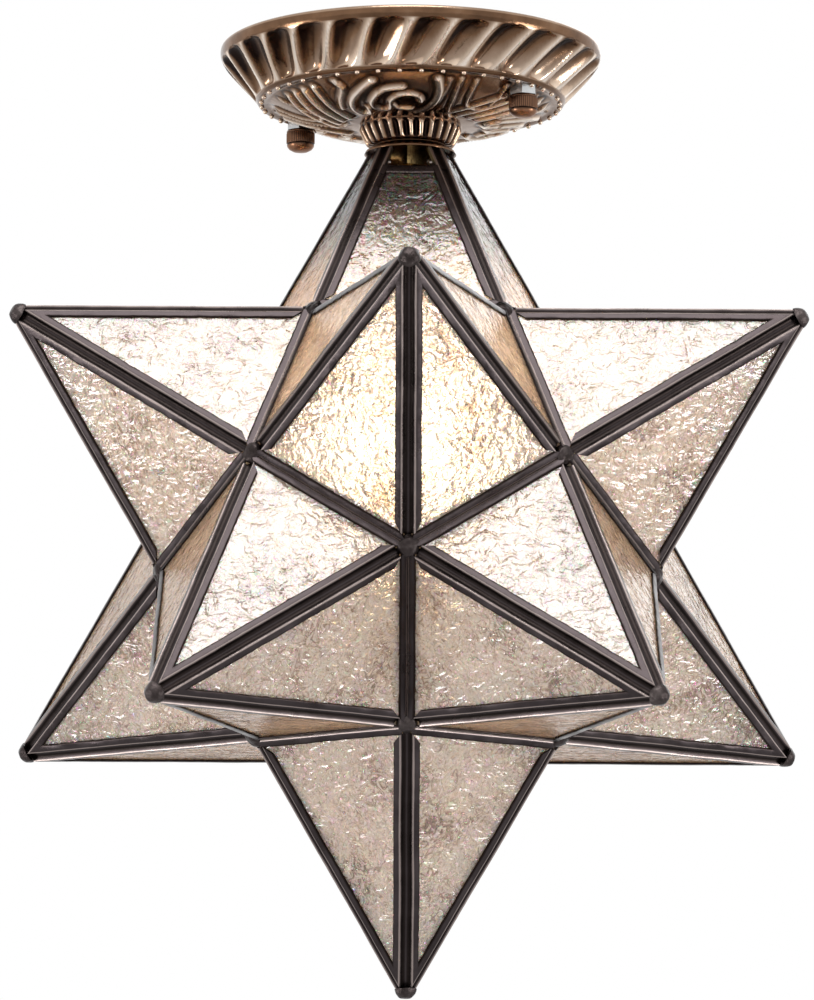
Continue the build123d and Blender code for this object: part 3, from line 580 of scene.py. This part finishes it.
def bare_web(start):
    """The strip of a ridge beside the window, where the flanges are cut away."""
    web = start + CHANNEL_WEB
    return [(start, 0.42, EDGE_HIGHLIGHT), (start + 0.10, 0.10, EDGE_HIGHLIGHT), (start + 0.38, -0.04, EDGE_HIGHLIGHT),
            (web - 0.1, 0.0, EDGE_HIGHLIGHT), (web, 0.2, EDGE_HIGHLIGHT), (web, CHANNEL_THICK, HOLLOW_SHADE),
            (start, CHANNEL_THICK, HOLLOW_SHADE)]


def ridge_section(bare_side=0):
    """Two channels with solder between them; one side can be bare."""
    along = Vector((-cos(RIDGE_HALF_ANGLE), sin(RIDGE_HALF_ANGLE)))
    inward = Vector((-sin(RIDGE_HALF_ANGLE), -cos(RIDGE_HALF_ANGLE)))
    wall = along * RIDGE_START + inward * (SOLDER_SINK - 0.45)
    sides = {}
    for side in (1, -1):
        section = bare_web(RIDGE_START) if side == bare_side else flange(RIDGE_START, RIDGE_START)
        # The solder is painted darker towards each channel's wall: painted shade in the groove.
        half = [(wall.x - 0.62, 0.35, 0.3), (wall.x - 0.48, 0.75, 0.14), (wall.x, wall.y, HOLLOW_SHADE)]
        for s, t, shade in section:
            u, v = along * s + inward * t
            half.append((u, v, shade))
        sides[side] = [(u, v * side, shade) for u, v, shade in half]
    return [(wall.x - 0.68, 0.0, 0.5)] + sides[1] + sides[-1][::-1]


def ridge_bar(top=TIP_RADIUS - TIP_CUT, cone=False, bare_side=0, low=None, high=None):
    """A ridge between the inner corner and a height, or only its part below or above the window's sill."""
    bm = swept(ridge_section(bare_side), CORNER - RIDGE_DIR * 10, RIDGE_OUT, RIDGE_DIR, RIDGE_LENGTH + 10)
    for azimuth in (0, 72):
        mid = spot(1, azimuth)
        keep_side(bm, TIP, spot(1, 36) - mid * mid.dot(spot(1, 36)))
    for other in (-36, 108):
        base_dir = (spot(BASE_RADIUS, other, BASE_HEIGHT) - CORNER).normalized()
        keep_side(bm, CORNER, RIDGE_DIR - base_dir)
    keep_side(bm, Vector((0, 0, top)), Vector((0, 0, -1)))
    if low is not None:
        keep_side(bm, *low)
    if high is not None:
        keep_side(bm, *high)
    if cone:
        door_clear(bm)
    return taken(bm)


def base_bar(cone=False):
    """The bar along one edge of a point's five-sided base, mitred at both corners."""
    section = [(s, -t, shade) for s, t, shade in flange(0, -VALLEY_SLOPE * CHANNEL_THICK)]
    bm = swept(section, BASE_MIDDLE - SIDE * PANE_BASE, UP_PANE, SIDE, 2 * PANE_BASE)
    for sign, azimuth in ((-1, -36), (1, 36)):
        corner = spot(BASE_RADIUS, azimuth, BASE_HEIGHT)
        ridge = (TIP - corner).normalized()
        keep_side(bm, corner, SIDE * -sign - ridge)
        mitre = SIDE * -sign * cos(radians(36)) + Vector((0, -sin(radians(36)), 0))
        keep_side(bm, Vector((0, 0, 0)), mitre)
    if cone:
        door_clear(bm)
    return taken(bm)


def door_clear(bm):
    """Trim a bar of the door to the cone that its base spans from the star's centre."""
    for k in range(5):
        spin = turn("Z", 72 * k).to_3x3()
        inside = (spin @ SIDE).cross(spin @ BASE_MIDDLE).normalized()
        if inside.z < 0:
            inside = -inside
        keep_side(bm, inside * DOOR_GAP, inside)


def sill_bar(height):
    """The channel under the window, across the top edge of the front top pane."""
    low = height - SILL_WIDTH
    web = height - CHANNEL_WEB
    slot_low = -CHANNEL_WALL - GLASS_THICK
    outline = [(low, -0.3, EDGE_HIGHLIGHT), (low + 0.1, -0.06, EDGE_HIGHLIGHT), (low + 0.4, 0.06, FLAT),
               (height - 0.5, 0.06, FLAT), (height - 0.3, 0.02, LIP), (height, -0.3, LIP),
               (height, -CHANNEL_THICK, FLAT),
               (low, -CHANNEL_THICK, HOLLOW_SHADE), (low, slot_low, HOLLOW_SHADE), (web, slot_low, HOLLOW_SHADE),
               (web, -CHANNEL_WALL, HOLLOW_SHADE), (low, -CHANNEL_WALL, HOLLOW_SHADE)]
    bm = swept(outline, BASE_MIDDLE - SIDE * PANE_BASE, UP_PANE, SIDE, 2 * PANE_BASE, 2.0)
    edge = (RIDGE_START + CHANNEL_WIDTH) / sin(radians(PANE_CORNER)) - 0.3
    for sign in (-1, 1):
        corner = BASE_MIDDLE + SIDE * sign * (PANE_BASE / 2 - edge)
        ridge = SIDE * -sign * cos(radians(PANE_CORNER)) + UP_PANE * sin(radians(PANE_CORNER))
        keep_side(bm, corner, OUT_PANE.cross(ridge) * sign)
    return taken(bm)


def five(part, turns=range(5)):
    """A part at each of five even turns, or at some of them."""
    verts, *rest = part
    return [(moved(verts, turn("Z", 72 * k)), *rest) for k in turns]


def top_point_parts():
    """The top point's bars: its two front ridges have bare webs beside the window, above the sill."""
    cap_low = STAR_DROP + COLLAR_LOW_Z - VASE_CAP_THICK
    sill = (cap_low - WINDOW_HEIGHT - BASE_HEIGHT) * PANE_HEIGHT / POINT_HEIGHT
    at_sill = BASE_MIDDLE + UP_PANE * sill
    parts = five(ridge_bar(cap_low), (1, 2, 3)) + five(base_bar()) + [sill_bar(sill)]
    towards_front = 1 if RIDGE_DIR.cross(RIDGE_OUT).dot(BASE_MIDDLE - CORNER) > 0 else -1
    parts.append(ridge_bar(cap_low, low=(at_sill, -UP_PANE)))
    parts.append(ridge_bar(cap_low, bare_side=towards_front, high=(at_sill, UP_PANE)))
    spun = turn("Z", 72).to_3x3()
    parts += five(ridge_bar(cap_low, low=(spun @ at_sill, spun @ -UP_PANE)), (4,))
    parts += five(ridge_bar(cap_low, bare_side=-towards_front, high=(spun @ at_sill, spun @ UP_PANE)), (4,))
    return joined(parts)


def star_frames():
    """The bars of all twelve points, one piece for each."""
    plain = joined(five(ridge_bar()) + five(base_bar()))
    special = {"top_point": top_point_parts(),
               DOOR_POINT: joined(five(ridge_bar(cone=True)) + five(base_bar(cone=True)))}
    for name, place in PLACES.items():
        verts, faces, shades = special.get(name, plain)
        body, node = ("door", "door") if name == DOOR_POINT else ("star_and_canopy", name)
        verts = uneven(moved(verts, place), shades)
        bars = piece(node + "_bars", verts, faces, "dark_channel", body, attribute=shades)
        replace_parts(bars, node + "_frame")


def tip_caps():
    """Blunt solder domes, almost flush with the bars and a little different on each tip."""
    low = TIP_RADIUS - TIP_CUT - 0.5
    end = TIP_RADIUS - TIP_END + 0.1
    profile = curve_through([(TIP_CAP_R - 0.15, low), (0.93 * TIP_CAP_R, low + 0.9),
                             (0.8 * TIP_CAP_R, low + 2.0), (0.52 * TIP_CAP_R, end - 0.45),
                             (0.2 * TIP_CAP_R, end - 0.05), (0, end)], 4)
    profile = [(0, low)] + profile[:-1] + [(0, end)]

    def five_sided(a, r, z):
        """Sink the dome a little between the five bars that it closes."""
        return -0.09 * r * (0.5 + 0.5 * cos(5 * a)) * min(1, (end - z) / 2)

    verts, faces = lathe(profile, 30, five_sided)

    def hand_made(name):
        """The dome on one tip, with its own unevenness."""
        return uneven(moved(verts, PLACES[name]), None, 0.2, 0.12, 0.16, 0.6)

    solid = [(hand_made(name), faces) for name in PLACES if name not in ("top_point", DOOR_POINT)]
    v, f, _ = joined(solid)
    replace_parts(piece("solder_tips", v, f, "solder"), "tip_caps")
    door_tip = piece("door_solder_tip", hand_made(DOOR_POINT), faces, "solder", "door")
    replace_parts(door_tip, "door_tip_cap")


def joint_places():
    """The twenty inner corners of the star, with the direction out of each."""
    found = {}
    for place in PLACES.values():
        for k in range(5):
            p = place @ spot(BASE_RADIUS, 36 + 72 * k, BASE_HEIGHT)
            found[tuple(round(c, 1) for c in p)] = p
    centre = Vector((0, 0, -STAR_DROP))
    return [(p, (p - centre).normalized()) for p in found.values()]


def solder_joints():
    """A lump of solder where the bars run together, apart from the door's corners."""
    door_corners = [PLACES[DOOR_POINT] @ spot(BASE_RADIUS, 36 + 72 * k, BASE_HEIGHT) for k in range(5)]
    dab = curve_through([(4.0, -1.5), (3.2, -0.35), (2.1, 0.2), (1.0, 0.42), (0, 0.46)], 3)
    raised = 0.35
    lumps = []
    for spot_at, out in joint_places():
        if min((spot_at - c).length for c in door_corners) < 1:
            continue
        side = out.orthogonal().normalized()
        other = out.cross(side)
        verts, faces = lathe(dab, 26)
        turned = []
        for x, y, z in verts:
            p = spot_at + side * x + other * y + out * (z + raised)
            grain = noise.noise(p * 0.33)
            turned.append(tuple(p + (p - spot_at) * 0.3 * grain + out * 0.3 * noise.noise(p * 0.6)))
        lumps.append((turned, faces))
    verts, faces, _ = joined(lumps)
    piece("solder_joints", verts, faces, "solder", smooth=80)


# Canopy and turned parts

CANOPY_TURNS = FLUTES * 18
RIM_LOW_Z = -4.6                # the flutes run from here
FLUTES_LOW_Z = -20.2            # down to here
FLUTES_R = 60
DOME_R = 54
DOME_LOW_Z = -30.25
COLLAR_R = 20
RIBS_HIGH_Z = -30.6
RIBS = 28
STROKE_REACH = 6                # a stroke further off than this doesn't touch a ring
CANOPY_INSIDE = [(5.2, -38.0), (5.2, -36.4), (14.2, -36.4), (16.4, -29.2), (37.0, -26.0), (51.0, -18.6),
                 (57.5, -18.2), (69.6, -4.2), (71.8, 0), (73.0, 0)]


def profile_line():
    """The canopy's outer line from the rim to the collar's foot, as (radius, z)."""
    rim = curve_through([(73.0, 0), (73.6, -0.7), (73.7, -2.4), (73.1, -4.4), (71.9, -6.4), (69.7, -9.0),
                         (67.0, -12.0), (64.3, -15.0), (62.0, -17.5), (60.3, -19.4), (59.6, -20.3)], 5)
    land = [(59.3, -20.9), (58.9, -21.25), (58.4, -21.35), (57.8, -21.35), (57.0, -21.3), (56.2, -21.15),
            (55.5, -21.0), (54.7, -21.0)]
    dome = curve_through([(53.9, -21.2), (50.0, -23.3), (44.0, -25.9), (38.0, -27.8), (30.0, -29.4),
                          (23.0, -30.0), (19.4, -30.3)], 11)
    collar = curve_through([(19.5, -30.9), (19.3, -31.8), (18.6, -33.4), (17.6, -35.4), (16.6, -37.2),
                            (16.0, -37.8), (15.5, -38.0)], 3)
    return rim + land + dome + collar


def stroke(points, width, height):
    """A raised line of relief through (azimuth, radius) points."""
    smooth = curve_through(points, 8)
    line = np.array([(r * sin(radians(a)), -r * cos(radians(a))) for a, r in smooth])
    return line, width, height


def relief_strokes():
    """Common scroll and leaf ornament on the dome, three times round."""
    motif = [
        # facing scrolls
        stroke([(-17, 50), (-24, 46), (-32, 41), (-39, 34), (-38, 29), (-31, 29), (-28, 33)], 1.5, 1.6),
        stroke([(-4, 46), (-12, 45), (-19, 41), (-24, 35), (-21, 30.5), (-14, 31), (-12, 34)], 1.4, 1.5),
        stroke([(6, 36.5), (4, 40.5), (-2, 42), (-8, 40), (-12, 35.5), (-9, 31), (0, 30)], 1.2, 1.4),
        stroke([(12, 51), (14.5, 45), (15, 37), (12, 30), (5, 26)], 1.3, 1.3),
        stroke([(-34, 52), (-33, 47.5), (-39, 42), (-46, 36)], 1.3, 1.2),
        stroke([(17, 51), (17, 42)], 0.9, 0.8),
        # open loops
        stroke([(22, 52), (23, 43), (27, 32), (35, 25.5), (43, 26)], 0.8, 1.1),
        stroke([(29, 52), (31, 43), (35, 37), (42, 35), (48, 37), (48, 43), (45, 52)], 0.8, 1.1)]
    # leaf fan
    for shift in range(4):
        motif.append(stroke([(-46 - 6.5 * shift, 51), (-49 - 8.5 * shift, 43), (-53 - 10 * shift, 34),
                             (-56 - 11.5 * shift, 28)], 1.5, 1.5 - 0.12 * shift))
    out = []
    for k in range(3):
        for line, width, height in motif:
            a = radians(120 * k)
            spin = np.array([[cos(a), -sin(a)], [sin(a), cos(a)]])
            out.append((line @ spin.T, width, height))
    return out


def flute_depth(azimuth, along):
    """How deep the slanted scoops are cut at a place along the slope, with their painted light and shade."""
    pitch = 360 / FLUTES
    if not 0 < along < 1:
        return np.zeros_like(azimuth), np.full_like(azimuth, 0.55)
    x = ((azimuth - FLUTE_SLANT * (1 - along)) / pitch + 0.5) % 1.0 - 0.5
    swell = (1 - abs(2 * along - 1) ** 4) ** 0.5
    half = 0.46 * (1 - 0.10 * along) * swell ** 0.7 + 1e-4
    scoop = np.clip(1 - (np.abs(x) / half) ** 2, 0, 1) ** 1.25
    # Painted shade and highlights: each scoop is darkest at its outer end and on one side, lighter inwards,
    # and its crests are bright.
    crest = np.clip((np.abs(x) - 0.30) / 0.2, 0, 1)
    floor = 0.02 + 0.50 * along ** 1.4 + 0.25 * np.clip(x / half, -1, 1)
    shade = floor * (1 - crest) + 0.88 * crest
    blend = np.clip(swell * 1.6, 0, 1)
    return scoop * 2.7 * swell, shade * blend + 0.5 * (1 - blend)


def dome_relief(azimuth, r, strokes):
    """How far the dome's ornament stands out along a ring, with its shade: painted highlights on the strokes
    and a painted shadow at each stroke's foot.
    """
    a = np.radians(azimuth)
    p = np.stack([r * np.sin(a), -r * np.cos(a)], 1)
    lift = np.zeros(CANOPY_TURNS)
    foot = np.zeros(CANOPY_TURNS)
    for path, width, height in strokes:
        if np.abs(np.hypot(*path.T) - r).min() > STROKE_REACH:
            continue
        d = np.sqrt(((p[:, None, :] - path[None]) ** 2).sum(2)).min(1)
        lift = np.maximum(lift, height * np.exp(-(d / width) ** 2))
        foot = np.maximum(foot, np.exp(-((d / width - 1.9) / 0.6) ** 2))
    # Painted highlights on the strokes and a painted shadow along their feet, where the surface also dips a
    # little.
    near = np.clip(lift / 1.2, 0, 1)
    shade = 0.30 + 0.64 * near ** 1.5 - 0.24 * foot * (1 - near)
    edge = np.clip((DOME_R - r) / 3, 0, 1) * np.clip((r - COLLAR_R) / 3, 0, 1)
    return (lift - 0.25 * foot * (1 - near)) * edge, shade


def collar_ribs(azimuth, z):
    """The upright ribs of the collar along a ring, with their shade: painted highlights on the ribs, painted
    shade between them.
    """
    wave = np.cos(np.radians(azimuth * RIBS) + (z + 30) * 0.12)
    fade = np.clip((RIBS_HIGH_Z - z) / 1.5, 0, 1) * np.clip((z + 38.2) / 1.2, 0, 1)
    # Painted highlights on the ribs and painted shade between them, following the ribs' own wave.
    return (0.85 * wave - 0.3) * fade, 0.14 + 0.44 * wave


def casting_ring(azimuth, r, z, strokes):
    """What stands out of the plain profile along one of its rings, with the shade."""
    if FLUTES_LOW_Z < z < RIM_LOW_Z and r > FLUTES_R:
        depth, shade = flute_depth(azimuth, (RIM_LOW_Z - z) / (RIM_LOW_Z - FLUTES_LOW_Z))
        return -depth, shade
    if COLLAR_R < r < DOME_R and z > DOME_LOW_Z:
        return dome_relief(azimuth, r, strokes)
    if z < RIBS_HIGH_Z:
        return collar_ribs(azimuth, z)
    # The rim's band and the land are darker; the rim's top edge keeps the lighter shade as a painted
    # highlight.
    band = RIM_LOW_Z < z < -1 or DOME_R < r < 59.7
    return np.zeros(CANOPY_TURNS), np.full(CANOPY_TURNS, 0.22 if band else 0.42)


def outward(line):
    """The directions square to a profile that point out of the casting."""
    tangent = np.gradient(line, axis=0)
    normal = np.stack([-tangent[:, 1], tangent[:, 0]], 1)
    normal /= np.linalg.norm(normal, axis=1)[:, None]
    return -normal if normal[len(normal) // 2][1] > 0 else normal


def stud_place(side):
    """The middle of the right (1) or left (-1) stud."""
    return side * spot(STUD_CIRCLE_R, STUD_AZIMUTH)


def canopy():
    """The cast canopy with all its relief, flat seats for the two nuts and a hollow back."""
    line = np.array(profile_line())
    azimuth = np.arange(CANOPY_TURNS) * 360 / CANOPY_TURNS
    a = np.radians(azimuth)
    strokes = relief_strokes()
    rings, shades = [], []
    for (r, z), n in zip(line, outward(line)):
        lift, shade = casting_ring(azimuth, r, z, strokes)
        rr = r + n[0] * lift
        rings.append(np.stack([rr * np.sin(a), -rr * np.cos(a), z + n[1] * lift], 1))
        shades.append(shade)
    for side in (1, -1):
        at = stud_place(side)
        for ring in rings:
            inside = np.hypot(ring[:, 0] - at.x, ring[:, 1] - at.y) < SEAT_R
            ring[inside, 2] = np.maximum(ring[inside, 2], SEAT_Z)
    for r, z in CANOPY_INSIDE:
        rings.append(np.stack([r * np.sin(a), -r * np.cos(a), np.full_like(a, z)], 1))
        shades.append(np.full(CANOPY_TURNS, 0.3))
    faces = []
    for i in range(len(rings) - 1):
        here, below = i * CANOPY_TURNS, (i + 1) * CANOPY_TURNS
        for k in range(CANOPY_TURNS):
            n = (k + 1) % CANOPY_TURNS
            faces.append((here + k, here + n, below + n, below + k))
    obj = piece("canopy_casting", np.concatenate(rings), faces, "antique_bronze", smooth=60,
                attribute=np.concatenate(shades))
    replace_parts(obj, "canopy")


def bead_ring():
    """The ring of beads on the land between the flutes and the dome."""
    beads = []
    ball, faces = lathe([(0, -1.0), (0.5, -0.87), (0.84, -0.5), (0.98, 0), (0.8, 0.6), (0, 0.8)], 12)
    for k in range(BEADS):
        p = spot(BEAD_RING_R, 360 / BEADS * (k + 0.5), BEAD_Z)
        beads.append(([(x + p.x, y + p.y, z + p.z) for x, y, z in ball], faces))
    verts, faces, _ = joined(beads)
    piece("bead_ring", verts, faces, "antique_bronze", attribute=[0.72] * len(verts))


def cap_nuts():
    """Knurled thumb nuts with a domed end."""
    top = SEAT_Z - HEX_NUT_THICK
    ridges = 44

    def knurl(a, r, z):
        """Fine upright ridges round the grip."""
        if r < CAP_NUT_R - 0.35 or not top - 5.4 < z < top - 1.1:
            return 0
        return -0.28 * (0.5 + 0.5 * cos(ridges * a))

    profile = [(2.6, top), (CAP_NUT_R - 0.6, top), (CAP_NUT_R - 0.15, top - 0.3), (CAP_NUT_R, top - 0.8),
               (CAP_NUT_R - 0.2, top - 1.1), (CAP_NUT_R + 0.05, top - 1.4), (CAP_NUT_R + 0.05, top - 5.1),
               (CAP_NUT_R - 0.2, top - 5.4), (CAP_NUT_R - 0.45, top - 5.6), (CAP_NUT_R - 0.15, top - 5.9),
               (CAP_NUT_R - 0.3, top - 6.6), (CAP_NUT_R - 1.1, top - 7.6), (CAP_NUT_R - 2.6, top - 8.4),
               (CAP_NUT_R - 4.2, top - 8.62), (0, top - 8.65)]
    verts, faces = lathe(profile, 4 * ridges, knurl)
    # The grip is painted darker down in its grooves and lighter on its crests: painted shade and highlights.
    # The domed end is lighter all over.
    shade = []
    for x, y, z in verts:
        r = sqrt(x * x + y * y)
        shade.append(0.75 if z < top - 5.9 else 0.15 + 0.5 * max(0, (r - CAP_NUT_R + 0.3) / 0.35))
    for side, name in ((1, "cap_nut_right"), (-1, "cap_nut_left")):
        at = stud_place(side)
        placed = [(x + at.x, y + at.y, z) for x, y, z in verts]
        obj = piece(name + "_knurled", placed, faces, "copper_brown", name, attribute=shade)
        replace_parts(obj, name)


def turned_part(name, node, profile, segments, material, body="star_and_canopy", wobble=None, shade=None):
    """A round piece in the place of a CAD node."""
    verts, faces = lathe(profile, segments, wobble)
    attribute = None if shade is None else [shade] * len(verts)
    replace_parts(piece(name, verts, faces, material, body, attribute=attribute), node)


def vase_cap():
    """The spun cap between the collar and the top point."""
    cap_low = COLLAR_LOW_Z - VASE_CAP_THICK
    cap = curve_through([(5.2, COLLAR_LOW_Z), (13.0, COLLAR_LOW_Z), (14.0, -38.3), (15.5, -39.2),
                         (16.9, -40.0), (17.4, -40.5), (17.3, cap_low), (16.8, cap_low - 0.1),
                         (5.2, cap_low)], 4)
    turned_part("vase_cap_spun", "vase_cap", cap + [cap[0]], 72, "antique_bronze", shade=0.2)


def stem():
    """The threaded stem, hollow for the wires."""
    high, low, bore_r, thread_r, pitch = -24.0, -57.0, 3.7, 4.75, 1.4

    def threads(a, r, z):
        """A helix on the outside, none in the bore."""
        return 0.0 if r < 4.5 else 0.28 * sin(2 * pi * z / pitch + a)

    outside = [(thread_r, z) for z in np.arange(high, low - 0.01, -0.35)]
    nipple = [(bore_r, high)] + outside + [(bore_r, low), (bore_r, high)]
    turned_part("stem_threaded", "stem_nipple", nipple, 32, "brass_nut", wobble=threads)


def bulb():
    """The blown bulb and its threaded base."""
    neck_z, low_z, round_r = -100.0, -183.0, 30
    ball_z = neck_z - 51
    drop = ball_z - low_z
    outer = curve_through([(12.4, neck_z + 6), (12.4, neck_z), (14.2, neck_z - 7), (18.6, neck_z - 19),
                           (24.6, neck_z - 33), (28.8, neck_z - 43)], 4)
    outer += [(round_r * cos(radians(a)), ball_z - drop * sin(radians(a))) for a in range(0, 90, 9)]
    turned_part("bulb_blown", "bulb_envelope", outer + [(0, low_z)], 48, "bulb_glass", "bulb")
    base = [(0, -78.0), (12.0, -78.0)]
    base += [(12.55 + 0.55 * cos(2 * pi * (z + 79) / 3.6), z) for z in np.arange(-79.0, -96.0, -0.6)]
    base += [(13.0, -97.0), (12.4, neck_z), (0, neck_z)]
    turned_part("bulb_base_threaded", "bulb_base", base, 40, "bulb_cap_metal", "bulb")


def lampholder():
    """The lampholder's dome and skirt."""
    dome = curve_through([(4.9, -50), (8.4, -50), (8.4, -54.8), (11.5, -56.4), (16.2, -59.4), (18.6, -63.2),
                          (19, -67)], 4)
    dome += [(16.4, -67), (14, -61.4), (4.9, -58.2), (4.9, -50)]
    turned_part("holder_dome", "lampholder_cap", dome, 48, "black_phenolic")
    skirt = [(16.4, -67), (19, -67), (19, -69.6), (18.4, -70.4), (18.0, -71.2), (18.0, -94.2), (18.5, -95.0),
             (19, -95.8), (19, -97.6), (18.6, -98), (13.9, -98), (13.9, -95), (16.4, -94), (16.4, -67)]
    turned_part("holder_skirt", "lampholder_body", skirt, 48, "black_phenolic")


star_frames()
tip_caps()
solder_joints()
canopy()
bead_ring()
cap_nuts()
vase_cap()
stem()
bulb()
lampholder()


# Room, lamps and camera

FLOOR_Z = -2.4
FLOOR_HALF = 9.0
LAMP_AIM = Vector((0, 0, -0.15))
LAMPS = [("softbox", (0, -0.92, 1.62), 1.0, 20.0), ("left", (-1.82, -0.5, -0.81), 0.45, 8.0),
         ("right", (1.82, -0.5, -0.81), 0.45, 8.0), ("back", (0.6, 2.2, 1.0), 1.2, 5.0)]


def room():
    """Soft light all round; white where it is seen directly, in a reflection or through glass."""
    world = bpy.data.worlds.new("studio")
    world.use_nodes = True
    bpy.context.scene.world = world
    tree = world.node_tree
    tree.nodes.clear()
    out = tree.nodes.new("ShaderNodeOutputWorld")
    white = add(tree, "ShaderNodeBackground", Color=(1, 1, 1, 1), Strength=1.0)
    soft = add(tree, "ShaderNodeBackground", Color=(0.97, 0.98, 1.0, 1), Strength=0.85)
    rays = tree.nodes.new("ShaderNodeLightPath")
    direct = arithmetic(tree, "MAXIMUM", rays.outputs["Is Camera Ray"], rays.outputs["Is Glossy Ray"])
    seen = arithmetic(tree, "MAXIMUM", direct, rays.outputs["Is Transmission Ray"])
    both = tree.nodes.new("ShaderNodeMixShader")
    tree.links.new(seen, both.inputs["Fac"])
    tree.links.new(soft.outputs[0], both.inputs[1])
    tree.links.new(white.outputs[0], both.inputs[2])
    tree.links.new(both.outputs[0], out.inputs["Surface"])


def floor():
    """A plain pale floor, far below."""
    mesh = bpy.data.meshes.new("floor")
    corners = [(x * FLOOR_HALF, y * FLOOR_HALF, FLOOR_Z) for x, y in ((-1, -1), (1, -1), (1, 1), (-1, 1))]
    mesh.from_pydata(corners, [], [(0, 1, 2, 3)])
    obj = bpy.data.objects.new("floor", mesh)
    bpy.context.scene.collection.objects.link(obj)
    m, _, shader = new_material("floor")
    shader.inputs["Base Color"].default_value = (0.72, 0.71, 0.70, 1)
    shader.inputs["Roughness"].default_value = 0.8
    mesh.materials.append(m)


def lamps():
    """A softbox mirrored by the panes that face up, two low lamps that make the glass sparkle, one behind."""
    for name, place, size, watts in LAMPS:
        lamp = bpy.data.lights.new(name, "AREA")
        lamp.shape = "SQUARE"
        lamp.size = size
        lamp.energy = watts
        obj = bpy.data.objects.new(name, lamp)
        obj.location = place
        obj.rotation_euler = (LAMP_AIM - Vector(place)).to_track_quat("-Z", "Y").to_euler()
        bpy.context.scene.collection.objects.link(obj)


# Where the photograph was taken from, fitted to the tips and inner corners of the star
CAMERA_AZIMUTH = 0.05
CAMERA_ELEVATION = -9.33
CAMERA_DISTANCE = 2346.5
LOOK_UP = 9.69
LOOK_TURN = -0.013
CAMERA_ROLL = 0.32
FOCAL_PIXELS = 6135.0
PHOTO_HEIGHT = 1000.0
SENSOR = 36.0


def photo_camera():
    """The camera, aimed from its distance to the star's middle, then turned, raised and rolled."""
    az, el = radians(CAMERA_AZIMUTH), radians(CAMERA_ELEVATION)
    away = Vector((sin(az) * cos(el), -cos(az) * cos(el), sin(el))) * CAMERA_DISTANCE
    yaw = atan2(-away.x, -away.y) + radians(LOOK_TURN)
    pitch, roll = radians(LOOK_UP), radians(CAMERA_ROLL)
    ahead = Vector((sin(yaw) * cos(pitch), cos(yaw) * cos(pitch), sin(pitch)))
    right = Vector((cos(yaw), -sin(yaw), 0))
    up = right.cross(ahead)
    right, up = right * cos(roll) + up * sin(roll), up * cos(roll) - right * sin(roll)
    camera = bpy.data.cameras.new("camera")
    camera.sensor_fit = "VERTICAL"
    camera.sensor_height = SENSOR
    camera.lens = FOCAL_PIXELS * SENSOR / PHOTO_HEIGHT
    camera.clip_end = 50
    obj = bpy.data.objects.new("camera", camera)
    turned = Matrix((right, up, -ahead)).transposed().to_4x4()
    obj.matrix_world = Matrix.Translation((away + Vector((0, 0, -STAR_DROP))) * MM) @ turned
    bpy.context.scene.collection.objects.link(obj)
    bpy.context.scene.camera = obj


room()
floor()
lamps()
photo_camera()
bpy.context.scene.view_settings.view_transform = "Standard"
